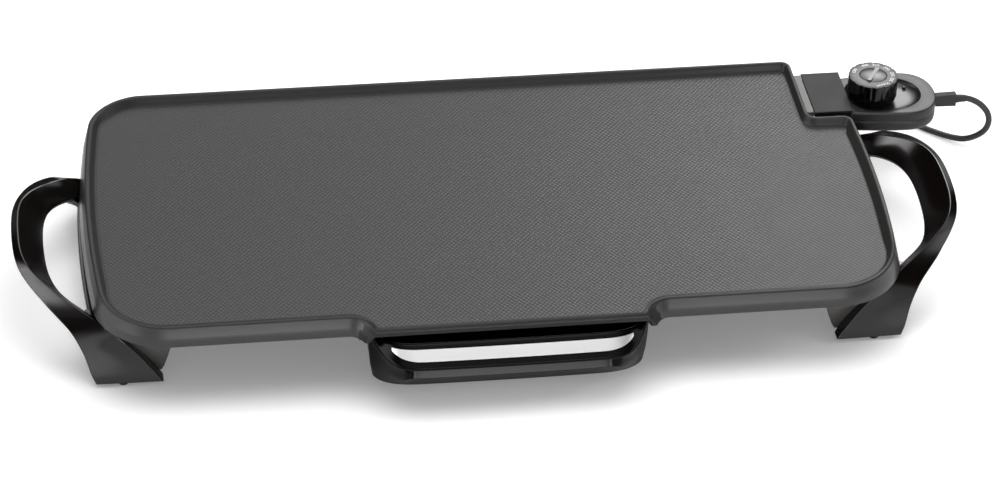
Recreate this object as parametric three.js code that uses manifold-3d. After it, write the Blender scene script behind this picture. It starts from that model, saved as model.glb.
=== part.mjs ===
// Electric griddle: a cast plate on two pull-off handles that are also its legs, with a drip tray
// that slides out at the front and a plug-in heat control at the back right corner.
// Millimetres. +X is the user's right, +Y the back, +Z up. The pieces are laid out from the middle
// of the plate, with the table at z = 0; the last lines move the origin under the object's middle.

import * as THREE from 'three';
import { mergeVertices } from 'three/addons/utils/BufferGeometryUtils.js';
import Module from 'manifold-3d';

const wasm = await Module();
wasm.setup();

// ---------------------------------------------------------------- driving dimensions

const seatGap = 0.3;               // between pieces that touch
const slideGap = 0.5;              // between pieces that slide on each other

// Plate
const plateLength = 559;           // over the middle of its bowed ends
const plateDepth = 286;
const endBow = 10;                 // how far each end curves in towards its corners
const surfaceHeight = 62.3;        // cooking surface above the table
const plateThickness = 5;
const rimHeight = 5.7;             // raised rim above the cooking surface
const lipHeight = 0.6;             // low lip along the front
const rimSlopeWidth = 5.5;
const rimTopWidth = 1.4;
const rimRound = 1;
const apronDepth = 12.8;           // cooking surface to the lower edge of the outer wall
const apronDraft = 4;
const apronWall = 3;
const frontCornerRadius = 47;
const backCornerRadius = 40;
const spoutRootHalf = 109.5;       // half width where the spout leaves the front edge
const spoutHalf = 93;              // half width of its straight lip
const spoutReach = 17.5;
const spoutLipDepth = 6.8;
const notchWidth = 33;             // cut-out for the heat control, in from the end
const notchDepth = 78.2;           // and in from the back edge
const notchRadius = 8;

// Handles
const handleCentre = -8;           // the handles sit a little forward of the plate's middle
const handleReach = 52.2;          // grip beyond the end of the plate
const handleSpan = 113.5;          // half the distance over the front and rear legs
const gripHeight = 70;
const gripDepth = 26;
const gripTilt = 50 * Math.PI / 180;
const legWall = 11;
const legToe = 46;                 // width of each leg at the floor
const footLift = 3;                // legs above the table
const footRadius = 3.6;
const footInset = 6;               // from the toe's outer face to the middle of the foot
const footBite = 2;
const beamInner = 12;              // beam in from the end of the plate
const beamDepth = 11;
const gripToControl = 2.3;         // clearance between the grip's rear end and the heat control
const tongueWidth = 60;
const tongueThickness = 3.2;
const tongueReach = 34;
const tongueDrop = 3.7;            // tongue below the plate's apron, so that it slides out under it
const sheetThickness = 1.5;        // brackets

// Drip tray
const trayHalf = 92;
const trayFloorHeight = 11;
const trayBack = -52;
const trayRimHeight = 44;
const trayFlange = 5;
const trayWall = 2.6;
const trayFront = -154;            // foot of the front wall
const visorFront = -177;           // finger lip
const visorLipHeight = 39.5;
const visorTopHeight = 51.3;
const badgeThickness = 0.9;
const guideWidth = 11.7;
const guideLength = 80;

// Heat control
const controlInset = 43.2;         // middle line of the control behind the cut-out's front wall
const terminalHeight = 44;
const terminalSpacing = 28;
const pinRadius = 2.4;
const bushingWall = 1.4;
const probeRadius = 3.2;
const probeLength = 92;
const guardReach = 7.5;            // front face of the terminal guard out from the cut-out's rim
const guardThickness = 3;
const guardHalf = 25.7;
const guardTop = 60.5;
const guardBottom = 38.2;
const shroudLength = 28.7;
const shroudHalf = 27.1;
const shroudTop = 61;
const shroudSheet = 1.8;
const shroudInset = 1.8;           // side walls in from the edges of its top
const controlLength = 67.2;
const controlEndHalf = 24.3;       // half width at the square end
const controlHalf = 28.2;
const controlBottom = 40.5;
const controlParting = 49.6;
const controlTop = 57;
const controlWall = 2.2;
const dialRecess = 2.4;
const dialOffset = 19.7;           // dial axis from the housing's square end
const dialRadius = 18.3;
const dialTop = 73.4;
const dialWall = 2;
const dialCapRadius = 8.6;
const barAngle = 56 * Math.PI / 180;
const shaftRadius = 2.5;
const pilotOffset = 26.5;          // pilot light from the dial axis
const pilotRadius = 1.5;
const housingScrewHalf = 17;
const reliefLength = 16.4;
const reliefWidth = 6.4;
const reliefHeight = 10;
const reliefMiddle = 49;

// Cord
const cordRadius = 2.5;
const coilRadius = 27.5;           // to the middle of the turns
const coilBand = 10.6;             // width and height of the bundle of turns
const coilBehind = 43;             // middle of the coil behind the plate's back edge
const coilFromEnd = 99.5;          // and in from its right end
const tieThickness = 1.1;
const tieWidth = 6;
const plugLength = 30;
const plugWidth = 19;
const plugHeight = 13;
const plugNeck = 6;
const bladeLength = 17;
const bladeSpacing = 12.7;

// Small parts
const elementRadius = 3.5;
const elementInset = 64;           // loop in from the plate's left end
const elementRightInset = 75;
const elementFrontInset = 48;
const elementBend = 25;
const elementDip = 34;             // run over which its ends drop to the terminals
const pinReach = 21;               // pins out of the terminal guard
const screwRadius = 1.6;
const screwHeadRadius = 3;
const screwHeadHeight = 1.7;
const screwBite = 2.7;             // how far a screw reaches into the plate

// ---------------------------------------------------------------- derived dimensions

const halfLength = plateLength / 2;
const halfDepth = plateDepth / 2;
const underside = surfaceHeight - plateThickness;
const apronBottom = surfaceHeight - apronDepth;
const spoutFront = -halfDepth - spoutReach;
const notchEdge = halfLength - notchWidth;
const notchFront = halfDepth - notchDepth;
const controlLine = notchFront + controlInset;
const frontPin = controlLine - terminalSpacing / 2;
const rearPin = controlLine + terminalSpacing / 2;
const guardRight = notchEdge + guardReach;
const shroudLeft = guardRight + seatGap;
const controlLeft = shroudLeft + shroudLength + seatGap;
const controlRight = controlLeft + controlLength;
const dialX = controlLeft + dialOffset;
const dialFloor = controlTop - dialRecess;
const coilX = halfLength - coilFromEnd;
const coilY = halfDepth + coilBehind;
const beamTop = apronBottom - seatGap;
const beamBottom = beamTop - beamDepth;
const tongueTop = beamTop - tongueDrop + tongueThickness;
const tongueBottom = beamTop - tongueDrop;

// ---------------------------------------------------------------- shape tools

function merged(geometry) {
  const plain = geometry.clone();
  plain.deleteAttribute('normal');
  plain.deleteAttribute('uv');
  return mergeVertices(plain, 1e-4);
}

function toSolid(geometry) {
  const plain = merged(geometry);
  return new wasm.Manifold(new wasm.Mesh({
    numProp: 3,
    vertProperties: new Float32Array(plain.attributes.position.array),
    triVerts: new Uint32Array(plain.index.array),
  }));
}

function toGeometry(solid) {
  const mesh = solid.getMesh();
  const geometry = new THREE.BufferGeometry();
  geometry.setAttribute('position', new THREE.BufferAttribute(new Float32Array(mesh.vertProperties), 3));
  geometry.setIndex(Array.from(mesh.triVerts));
  return geometry;
}

function join(first, ...others) {
  return toGeometry(others.reduce((sum, piece) => sum.add(toSolid(piece)), toSolid(first)));
}

function cut(first, ...tools) {
  return toGeometry(tools.reduce((left, tool) => left.subtract(toSolid(tool)), toSolid(first)));
}

function box(x0, x1, y0, y1, z0, z1) {
  const geometry = new THREE.BoxGeometry(x1 - x0, y1 - y0, z1 - z0);
  return geometry.translate((x0 + x1) / 2, (y0 + y1) / 2, (z0 + z1) / 2);
}

// A round bar along an axis, from one end to the other.
function rod(axis, radius, from, to, a, b, sides = 12) {
  const geometry = new THREE.CylinderGeometry(radius, radius, to - from, sides);
  const middle = (from + to) / 2;
  if (axis === 'x') return geometry.rotateZ(Math.PI / 2).translate(middle, a, b);
  if (axis === 'y') return geometry.translate(a, middle, b);
  return geometry.rotateX(Math.PI / 2).translate(a, b, middle);
}

// A flat outline pushed along an axis: outlines are [y, z] for x, [x, z] for y and [x, y] for z.
function prism(axis, outline, from, to) {
  const shape = new THREE.Shape(outline.map(([u, v]) => new THREE.Vector2(u, v)));
  const geometry = new THREE.ExtrudeGeometry(shape, { depth: to - from, bevelEnabled: false });
  const east = new THREE.Vector3(1, 0, 0);
  const north = new THREE.Vector3(0, 1, 0);
  const up = new THREE.Vector3(0, 0, 1);
  const basis = new THREE.Matrix4();
  if (axis === 'x') return geometry.applyMatrix4(basis.makeBasis(north, up, east)).translate(from, 0, 0);
  if (axis === 'y') {
    basis.makeBasis(east, up, north.clone().negate());
    return geometry.applyMatrix4(basis).translate(0, to, 0);
  }
  return geometry.translate(0, 0, from);
}

// Triangles over a level ring, turning the same way as the ring.
function capFaces(ring) {
  const flat = ring.map((point) => new THREE.Vector2(point.x, point.y));
  const faces = THREE.ShapeUtils.triangulateShape(flat, []);
  return THREE.ShapeUtils.isClockWise(flat) ? faces.map(([a, b, c]) => [a, c, b]) : faces;
}

// A skin over a row of rings with equally many points, closed by a flat cap at each end.
// The rings turn counterclockwise seen from the far end of the row.
function loft(rings) {
  const count = rings[0].length;
  const last = (rings.length - 1) * count;
  const indices = [];
  for (let ring = 0; ring < last; ring += count) {
    for (let i = 0; i < count; i += 1) {
      const next = (i + 1) % count;
      indices.push(ring + i, ring + next, ring + count + next);
      indices.push(ring + i, ring + count + next, ring + count + i);
    }
  }
  for (const [a, b, c] of capFaces(rings[0])) indices.push(a, c, b);
  for (const [a, b, c] of capFaces(rings.at(-1))) indices.push(last + a, last + b, last + c);
  const geometry = new THREE.BufferGeometry().setFromPoints(rings.flat());
  geometry.setIndex(indices);
  return geometry;
}

// The same outline, moved outwards by a distance that may change from point to point.
function offset(outline, distanceAt) {
  return outline.map((point, i) => {
    const before = outline.at(i - 1);
    const after = outline[(i + 1) % outline.length];
    const inEdge = point.clone().sub(before).normalize();
    const outEdge = after.clone().sub(point).normalize();
    const normal = new THREE.Vector2(inEdge.y + outEdge.y, -inEdge.x - outEdge.x).normalize();
    const stretch = 1 / Math.max(0.6, normal.x * inEdge.y - normal.y * inEdge.x);
    return point.clone().addScaledVector(normal, distanceAt(point) * stretch);
  });
}

function raise(outline, heightAt) {
  return outline.map((point) => new THREE.Vector3(point.x, point.y, heightAt(point)));
}

function mirrored(geometry) {
  const copy = merged(geometry).scale(-1, 1, 1);
  const index = copy.index.array;
  for (let i = 0; i < index.length; i += 3) {
    [index[i], index[i + 1]] = [index[i + 1], index[i]];
  }
  return copy;
}

function between(low, high, share) {
  return low + (high - low) * share;
}

// ---------------------------------------------------------------- finishes

const castBlack = () => new THREE.MeshStandardMaterial({ color: 0x4a484a, roughness: 0.5, metalness: 0.25 });
const glossBlack = () => new THREE.MeshStandardMaterial({ color: 0x0d0c0c, roughness: 0.14, metalness: 0 });
const satinBlack = () => new THREE.MeshStandardMaterial({ color: 0x3b3c3b, roughness: 0.42, metalness: 0 });
const rubber = () => new THREE.MeshStandardMaterial({ color: 0x171615, roughness: 0.8, metalness: 0 });
const steel = () => new THREE.MeshStandardMaterial({ color: 0xb9bbbd, roughness: 0.35, metalness: 1 });
const brightMetal = () => new THREE.MeshStandardMaterial({ color: 0xe9e9ec, roughness: 0.22, metalness: 0.9 });
const brass = () => new THREE.MeshStandardMaterial({ color: 0xc9a45c, roughness: 0.35, metalness: 1 });
const ceramic = () => new THREE.MeshStandardMaterial({ color: 0xe8e2d4, roughness: 0.6, metalness: 0 });
const dialGrey = () => new THREE.MeshStandardMaterial({ color: 0x5d5c5b, roughness: 0.4, metalness: 0.2 });
const amber = () => new THREE.MeshStandardMaterial({ color: 0x7a1d10, roughness: 0.2, metalness: 0 });

const griddle = new THREE.Group();

function add(name, geometry, material) {
  const mesh = new THREE.Mesh(geometry, material);
  mesh.name = name;
  griddle.add(mesh);
  return mesh;
}

// A pan-head screw driven upwards; its head sits just under headTop.
function screw(name, x, y, headTop, tip) {
  const profile = [
    [0, headTop - screwHeadHeight],
    [screwHeadRadius * 0.7, headTop - screwHeadHeight],
    [screwHeadRadius, headTop - screwHeadHeight * 0.4],
    [screwHeadRadius, headTop],
    [screwRadius, headTop],
    [screwRadius, tip],
    [0, tip],
  ].map(([r, z]) => new THREE.Vector2(r, z));
  const geometry = new THREE.LatheGeometry(profile, 10).rotateX(Math.PI / 2).translate(x, y, 0);
  return add(name, geometry, steel());
}

function screwHole(x, y, from, to) {
  return rod('z', screwRadius + seatGap, from, to, x, y, 10);
}

// ---------------------------------------------------------------- plate

function endX(y) {
  return halfLength - endBow * (y / halfDepth) ** 2;
}

// One bowed end from y0 to y1: a parabola, so one quadratic curve draws it exactly.
function addEnd(path, side, y0, y1) {
  const controlX = halfLength - endBow * y0 * y1 / halfDepth ** 2;
  path.quadraticCurveTo(side * controlX, (y0 + y1) / 2, side * endX(y1), y1);
}

function addCorner(path, fromTangent, toTangent, x, y) {
  path.bezierCurveTo(fromTangent[0], fromTangent[1], toTangent[0], toTangent[1], x, y);
}

function plateOutline() {
  const frontY = -halfDepth;
  const low = frontY + frontCornerRadius;
  const high = halfDepth - backCornerRadius;
  const frontX = endX(low) - frontCornerRadius;
  const backX = endX(high) - backCornerRadius;
  const pull = 0.55;
  const path = new THREE.Path();
  path.moveTo(-frontX, frontY);
  path.lineTo(-spoutRootHalf, frontY);
  path.quadraticCurveTo(-spoutRootHalf + 11.5, frontY, -spoutHalf, spoutFront);
  path.lineTo(spoutHalf, spoutFront);
  path.quadraticCurveTo(spoutRootHalf - 11.5, frontY, spoutRootHalf, frontY);
  path.lineTo(frontX, frontY);
  addCorner(path, [between(frontX, endX(frontY), pull), frontY],
    [endX(between(low, frontY, pull)) + 1, between(low, frontY, pull)], endX(low), low);
  addEnd(path, 1, low, notchFront - notchRadius);
  path.quadraticCurveTo(endX(notchFront), notchFront, endX(notchFront) - notchRadius, notchFront);
  path.lineTo(notchEdge + notchRadius, notchFront);
  path.quadraticCurveTo(notchEdge, notchFront, notchEdge, notchFront + notchRadius);
  path.lineTo(notchEdge, halfDepth - notchRadius);
  path.quadraticCurveTo(notchEdge, halfDepth, notchEdge - notchRadius, halfDepth);
  path.lineTo(-backX, halfDepth);
  addCorner(path, [-between(backX, endX(halfDepth), pull), halfDepth],
    [-endX(between(high, halfDepth, pull)) - 1, between(high, halfDepth, pull)], -endX(high), high);
  addEnd(path, -1, high, low);
  addCorner(path, [-endX(between(low, frontY, pull)) - 1, between(low, frontY, pull)],
    [-between(frontX, endX(frontY), pull), frontY], -frontX, frontY);
  const points = path.getPoints(8);
  points.pop();
  return points;
}

function platePiece() {
  const outline = plateOutline();
  const isSpout = ({ y }) => THREE.MathUtils.smoothstep(-y, -spoutFront - 5, -spoutFront - 0.5);
  const rimTop = ({ y }) => {
    const share = THREE.MathUtils.smoothstep(y, -halfDepth + 13, -halfDepth + 58);
    return surfaceHeight + between(lipHeight, rimHeight, share);
  };
  const bottom = (point) => between(apronBottom, surfaceHeight - spoutLipDepth, isSpout(point));
  const draft = (point) => between(apronDraft, 0.4, isSpout(point));
  const slope = ({ x, y }) => (x > notchEdge - 12 && y > notchFront - 12 ? 0.45 : 1) * rimSlopeWidth;
  const heights = outline.map((point) => (
    { bottom: bottom(point), top: rimTop(point), draft: draft(point), slope: slope(point) }
  ));
  const ring = (distance, height) => {
    const moved = offset(outline, (point) => distance(heights[outline.indexOf(point)]));
    return moved.map((point, i) => new THREE.Vector3(point.x, point.y, height(heights[i])));
  };
  return loft([
    ring(() => -apronWall - 0.5, () => underside),
    ring((at) => at.draft - apronWall, (at) => at.bottom),
    ring((at) => at.draft, (at) => at.bottom),
    ring(() => 0, (at) => at.top - rimRound),
    ring(() => -rimRound, (at) => at.top),
    ring(() => -rimRound - rimTopWidth, (at) => at.top),
    ring((at) => -rimRound - rimTopWidth - at.slope, () => surfaceHeight),
  ]);
}

// ---------------------------------------------------------------- places shared by several pieces

const bracketLeft = halfLength - 47.5;
const bracketRight = halfLength - 17.5;
const bracketHalf = tongueWidth / 2 + 2;
const bracketFlange = 14;
const bracketScrewX = (bracketLeft + bracketRight) / 2;
const bracketScrewHalf = bracketHalf + bracketFlange / 2 + 0.8;
const guideLeft = trayHalf + trayFlange + 1.3;
const guideRight = guideLeft + guideWidth;
const guideFront = -halfDepth + 5;
const guideBack = guideFront + guideLength;
const guideBottom = 40;
const guideScrewX = guideRight - 4.3;
const guideScrewYs = [guideFront + 13, guideBack - 15];
const guardBack = notchEdge - 10;
const guardScrewX = guardBack + 3.4;
const guardScrewYs = [controlLine - 21.5, controlLine + 21.5];
const plateScrewTip = underside + screwBite;
const elementFront = -halfDepth + elementFrontInset;
const pinLeft = guardBack - 2 * elementRadius + 1 + seatGap;
const pinRight = guardRight + pinReach;

function bothSides(make) {
  for (const [side, sign] of [['left', -1], ['right', 1]]) {
    make(side, sign, (geometry) => (sign < 0 ? mirrored(geometry) : geometry));
  }
}

const plateHoles = [];
for (const sign of [-1, 1]) {
  for (const y of [handleCentre - bracketScrewHalf, handleCentre + bracketScrewHalf]) {
    plateHoles.push(screwHole(sign * bracketScrewX, y, underside - 1, plateScrewTip + seatGap));
  }
  for (const y of guideScrewYs) {
    plateHoles.push(screwHole(sign * guideScrewX, y, underside - 1, plateScrewTip + seatGap));
  }
}
for (const y of guardScrewYs) {
  plateHoles.push(screwHole(guardScrewX, y, underside - 1, plateScrewTip + seatGap));
}
add('griddle_plate', cut(platePiece(), ...plateHoles), castBlack());

// ---------------------------------------------------------------- heating element and terminals

function heatingElement() {
  const high = underside - seatGap - elementRadius;
  const low = terminalHeight;
  const half = between(low, high, 0.5);
  const end = pinLeft - seatGap;
  const left = -halfLength + elementInset;
  const right = halfLength - elementRightInset;
  const front = elementFront;
  const bend = elementBend;
  const cut45 = 0.28 * bend;
  const dip = (share) => end - share * elementDip;
  const rise = (share) => frontPin - share * elementDip;
  const points = [
    [end, rearPin, low], [dip(0.18), rearPin, low], [dip(0.44), rearPin, half], [dip(0.74), rearPin, high - 0.4],
    [dip(1), rearPin, high], [dip(1.5), rearPin, high], [left + 2 * bend, rearPin, high],
    [left + bend, rearPin, high], [left + cut45, rearPin - cut45, high], [left, rearPin - bend, high],
    [left, handleCentre, high], [left, front + bend, high], [left + cut45, front + cut45, high],
    [left + bend, front, high], [left + 2 * bend, front, high], [right - 2 * bend, front, high],
    [right - bend, front, high], [right - cut45, front + cut45, high], [right, front + bend, high],
    [right, handleCentre, high], [right, rise(1.6), high], [right, rise(1.1), high],
    [between(right, end, 0.04), rise(0.8), high - 0.4], [between(right, end, 0.16), rise(0.42), half],
    [between(right, end, 0.5), rise(0.06), low], [between(right, end, 0.85), frontPin, low], [end, frontPin, low],
  ].map((point) => new THREE.Vector3(...point));
  const curve = new THREE.CatmullRomCurve3(points, false, 'centripetal');
  const section = new THREE.Shape().absarc(0, 0, elementRadius, 0, Math.PI * 2);
  return new THREE.ExtrudeGeometry(section, { steps: 96, curveSegments: 4, extrudePath: curve });
}
add('heating_element', heatingElement(), steel());

for (const [place, y] of [['front', frontPin], ['rear', rearPin]]) {
  add(`terminal_pin_${place}`, rod('x', pinRadius, pinLeft, pinRight, y, terminalHeight), steel());
  const bushing = rod('x', pinRadius + seatGap + bushingWall, guardBack - 3, guardRight + 2, y, terminalHeight, 16);
  const bore = rod('x', pinRadius + seatGap, guardBack - 4, guardRight + 3, y, terminalHeight, 16);
  add(`pin_bushing_${place}`, cut(bushing, bore), ceramic());
}

function terminalGuard() {
  const front = controlLine - guardHalf;
  const back = controlLine + guardHalf;
  const saddle = apronBottom - seatGap - 0.2;
  const block = box(guardBack, guardRight, front, back, guardBottom, saddle);
  const left = guardRight - guardThickness;
  const lean = apronDraft * (guardTop - saddle) / (surfaceHeight + rimHeight - saddle);
  const strip = prism('y', [
    [left, saddle - 1], [guardRight, saddle - 1], [guardRight, guardTop], [left - lean * 0.85, guardTop],
    [left, saddle + 1],
  ], front, back);
  const postRight = notchEdge - apronWall - 1;
  const posts = guardScrewYs.map((y) => box(guardBack, postRight, y - 4, y + 4, saddle - 1, underside - seatGap));
  const bores = [frontPin, rearPin].map((y) => (
    rod('x', pinRadius + bushingWall + 2 * seatGap, guardBack - 1, guardRight + 1, y, terminalHeight, 16)
  ));
  const probeHole = rod('x', probeRadius + slideGap, guardBack - 1, guardRight + 1, controlLine, terminalHeight, 16);
  const holes = guardScrewYs.map((y) => screwHole(guardScrewX, y, guardBottom - 1, underside + 1));
  return cut(join(block, strip, ...posts), ...bores, probeHole, ...holes);
}
add('terminal_guard', terminalGuard(), satinBlack());
guardScrewYs.forEach((y, i) => {
  screw(`terminal_screw_${i + 1}`, guardScrewX, y, guardBottom - seatGap, plateScrewTip);
});

// ---------------------------------------------------------------- handles

// The grip is a band that runs from the front toe over the grip to the rear toe. Each station gives
// its upper inner edge (crest) and its outer edge as [outboard, along, up]: shares of handleReach, of
// handleSpan (rearGripSpan on the rear of the grip, which ends before the heat control), of gripHeight.
const rearGripSpan = controlLine - controlHalf - gripToControl - handleCentre;
const crestStations = {
  front: [
    [-0.891, -1, 0.043], [-0.785, -0.976, 0.143], [-0.575, -0.947, 0.329], [-0.345, -0.916, 0.5],
    [-0.096, -0.855, 0.6], [0.182, -0.731, 0.643], [0.479, -0.626, 0.743], [0.728, -0.529, 0.907],
    [0.862, -0.352, 0.964], [0.891, -0.044, 1],
  ],
  rear: [
    [0.862, 0.211, 0.957], [0.728, 0.491, 0.857], [0.479, 0.783, 0.743], [0.182, 0.97, 0.643],
    [-0.096, 0.994, 0.536],
  ],
  leg: [[-0.326, 0.811, 0.429], [-0.575, 0.907, 0.286], [-0.785, 0.976, 0.143], [-0.891, 1, 0.043]],
};
const edgeStations = {
  front: [
    [-0.01, -1, 0.043], [0.048, -0.943, 0.114], [0.134, -0.881, 0.271], [0.307, -0.802, 0.479],
    [0.46, -0.744, 0.586], [0.556, -0.705, 0.65], [0.709, -0.626, 0.721], [0.881, -0.508, 0.791],
    [0.977, -0.352, 0.843], [1, -0.044, 0.904],
  ],
  rear: [
    [0.996, 0.211, 0.893], [0.9, 0.571, 0.814], [0.728, 0.807, 0.736], [0.536, 0.989, 0.629],
    [0.48, 1.006, 0.529],
  ],
  leg: [[0.307, 0.802, 0.414], [0.153, 0.872, 0.257], [0.048, 0.943, 0.114], [-0.01, 1, 0.043]],
};
const stationCount = Object.values(crestStations).flat().length;

function handleCurve({ front, rear, leg }) {
  const place = (span) => ([out, along, up]) => new THREE.Vector3(
    halfLength + out * handleReach,
    handleCentre + along * span,
    Math.max(footLift, up * gripHeight),
  );
  const points = [
    ...front.map(place(handleSpan)), ...rear.map(place(rearGripSpan)), ...leg.map(place(handleSpan)),
  ];
  return new THREE.CatmullRomCurve3(points, false, 'centripetal');
}

function handleBand() {
  const crest = handleCurve(crestStations);
  const edge = handleCurve(edgeStations);
  const steps = (stationCount - 1) * 2;
  const rings = [];
  for (let i = 0; i <= steps; i += 1) {
    const top = crest.getPoint(i / steps);
    const outer = edge.getPoint(i / steps);
    const run = crest.getPoint(Math.min(1, (i + 1) / steps)).sub(crest.getPoint(Math.max(0, (i - 1) / steps)));
    const across = new THREE.Vector2(-run.y, run.x).normalize();
    const square = new THREE.Vector2(0, Math.sign(handleCentre - top.y));
    const rise = top.z / gripHeight;
    const inward = square.lerp(across, THREE.MathUtils.smoothstep(rise, 0.6, 0.72)).normalize();
    const depth = between(legWall, gripDepth, THREE.MathUtils.smoothstep(rise, 0.62, 1));
    const tilt = gripTilt * THREE.MathUtils.smoothstep(rise, 0.62, 0.95);
    const level = Math.cos(tilt) * depth;
    const step = new THREE.Vector3(inward.x * level, inward.y * level, -Math.sin(tilt) * depth);
    const under = outer.clone().addScaledVector(step, 0.9);
    const lower = top.clone().add(step);
    rings.push([top, outer, under, lower].map((point) => point.setZ(Math.max(footLift, point.z))));
  }
  return loft(rings);
}

// One inner wall of a leg: an upright panel across it, from the foot up to topHeight.
const panelThickness = 2.5;
function legPanel(along, topHeight) {
  const inner = halfLength - legToe;
  const outer = halfLength - beamInner + 4;
  const outline = [
    [inner + 3, footLift + 0.5], [outer, topHeight - 9], [outer, topHeight], [inner - 9, topHeight],
    [inner - 9, between(footLift, topHeight, 0.72)], [inner - 7, between(footLift, topHeight, 0.46)],
    [inner - 4, between(footLift, topHeight, 0.24)], [inner - 0.5, footLift + 1.5],
  ];
  return prism('y', outline, handleCentre + along - panelThickness / 2, handleCentre + along + panelThickness / 2);
}

function handlePiece() {
  const along = (a) => handleCentre + a;
  const beamFront = -handleSpan + 2 * legWall;
  const beamRear = rearGripSpan - 1.6 * legWall;
  const inner = halfLength - beamInner;
  const outer = halfLength + apronDraft + 1;
  const beam = box(inner, outer, along(beamFront), along(beamRear), beamBottom, beamTop);
  const tongue = box(inner - tongueReach, inner + 1, along(-tongueWidth / 2), along(tongueWidth / 2),
    tongueBottom, tongueTop);
  const frontShoulder = box(inner - 2, halfLength - 1, along(beamFront - 6), along(beamFront + 10),
    beamBottom - 7, beamTop - 7.7);
  const rearShoulder = box(inner, outer, along(beamRear - 4), along(rearGripSpan - 6), beamBottom - 4,
    beamBottom + 2.8);
  const frontWall = legPanel(-handleSpan + legWall - panelThickness, beamTop - 2);
  const rearWall = legPanel(handleSpan - legWall - panelThickness, 29);
  const holes = [along(-handleSpan + footInset), along(handleSpan - footInset)].map((y) => (
    rod('z', footRadius + seatGap, footLift - 1, footLift + footBite + seatGap, footX, y, 20)
  ));
  return cut(join(handleBand(), beam, tongue, frontShoulder, rearShoulder, frontWall, rearWall), ...holes);
}

const footX = halfLength - 19;
const handleShape = handlePiece();
bothSides((side, sign, place) => {
  add(`${side}_handle`, place(handleShape), glossBlack());
  for (const [end, y] of [['front', -handleSpan + footInset], ['rear', handleSpan - footInset]]) {
    const foot = rod('z', footRadius, 0, footLift + footBite, footX, handleCentre + y, 16);
    add(`${side}_${end}_foot`, place(foot), rubber());
  }
});

// ---------------------------------------------------------------- brackets that take the handles

function handleBracket() {
  const top = underside - seatGap;
  const inside = tongueBottom - slideGap;
  const bottom = inside - sheetThickness;
  const flange = bracketHalf + sheetThickness + bracketFlange;
  const half = [
    [flange, top - sheetThickness], [flange, top], [bracketHalf, top], [bracketHalf, inside],
  ];
  const outer = [[bracketHalf + sheetThickness, bottom], [bracketHalf + sheetThickness, top - sheetThickness]];
  const right = [...outer, ...half];
  const left = right.map(([y, z]) => [-y, z]).reverse();
  const outline = [...right, ...left].map(([y, z]) => [handleCentre + y, z]);
  const holes = [-1, 1].map((sign) => (
    screwHole(bracketScrewX, handleCentre + sign * bracketScrewHalf, top - sheetThickness - 1, top + 1)
  ));
  return cut(prism('x', outline, bracketLeft, bracketRight), ...holes);
}

function handleClip() {
  const top = underside - seatGap;
  const leaf = 0.8;
  const touch = tongueTop + seatGap;
  const outline = [
    [bracketLeft + 2, top - leaf], [bracketLeft + 11, top - leaf], [bracketLeft + 20, touch],
    [bracketLeft + 27, touch + 3], [bracketLeft + 26.7, touch + 3.8], [bracketLeft + 20, touch + 1],
    [bracketLeft + 11.4, top], [bracketLeft + 2, top],
  ];
  return prism('y', outline, handleCentre - 12, handleCentre + 12);
}

bothSides((side, sign, place) => {
  add(`handle_bracket_${side}`, place(handleBracket()), steel());
  add(`handle_clip_${side}`, place(handleClip()), steel());
  [-1, 1].forEach((end, i) => {
    const y = handleCentre + end * bracketScrewHalf;
    screw(`bracket_screw_${side}_${i + 1}`, sign * bracketScrewX, y,
      underside - 2 * seatGap - sheetThickness, plateScrewTip);
  });
});

// ---------------------------------------------------------------- drip tray and its guides

function trayGuide() {
  const outline = [
    [guideLeft - 3, guideBottom], [guideLeft + 3.2, guideBottom], [guideLeft + 3.2, trayRimHeight],
    [guideRight, trayRimHeight], [guideRight, underside - seatGap], [guideLeft, underside - seatGap],
    [guideLeft, guideBottom + 1.7], [guideLeft - 3, guideBottom + 1.7],
  ];
  const holes = guideScrewYs.map((y) => screwHole(guideScrewX, y, trayRimHeight - 1, underside));
  const elementHalf = elementRadius + 2;
  const slot = box(guideLeft - 1, guideRight + 1, elementFront - elementHalf, elementFront + elementHalf,
    underside - 2 * elementHalf, underside);
  return cut(prism('y', outline, guideFront, guideBack), ...holes, slot);
}

bothSides((side, sign, place) => {
  add(`tray_guide_${side}`, place(trayGuide()), satinBlack());
  guideScrewYs.forEach((y, i) => {
    screw(`guide_screw_${side}_${i + 1}`, sign * guideScrewX, y, trayRimHeight - seatGap, plateScrewTip);
  });
});

// Outline of the tray's floor, counterclockwise from the middle of the front.
function trayOutline() {
  const cornerX = 62;
  const cornerY = trayFront + 20;
  const backRadius = 9;
  const path = new THREE.Path();
  path.moveTo(0, trayFront);
  path.quadraticCurveTo(cornerX * 0.6, trayFront, cornerX, trayFront + 0.6);
  path.bezierCurveTo(cornerX + 14, trayFront + 1, trayHalf, trayFront + 4, trayHalf, cornerY);
  path.lineTo(trayHalf, -halfDepth + 40);
  path.lineTo(trayHalf, trayBack - backRadius);
  path.quadraticCurveTo(trayHalf, trayBack, trayHalf - backRadius, trayBack);
  path.lineTo(0, trayBack);
  const half = path.getPoints(7);
  const other = half.slice(1, -1).reverse().map((point) => new THREE.Vector2(-point.x, point.y));
  return [...half, ...other];
}

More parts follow.
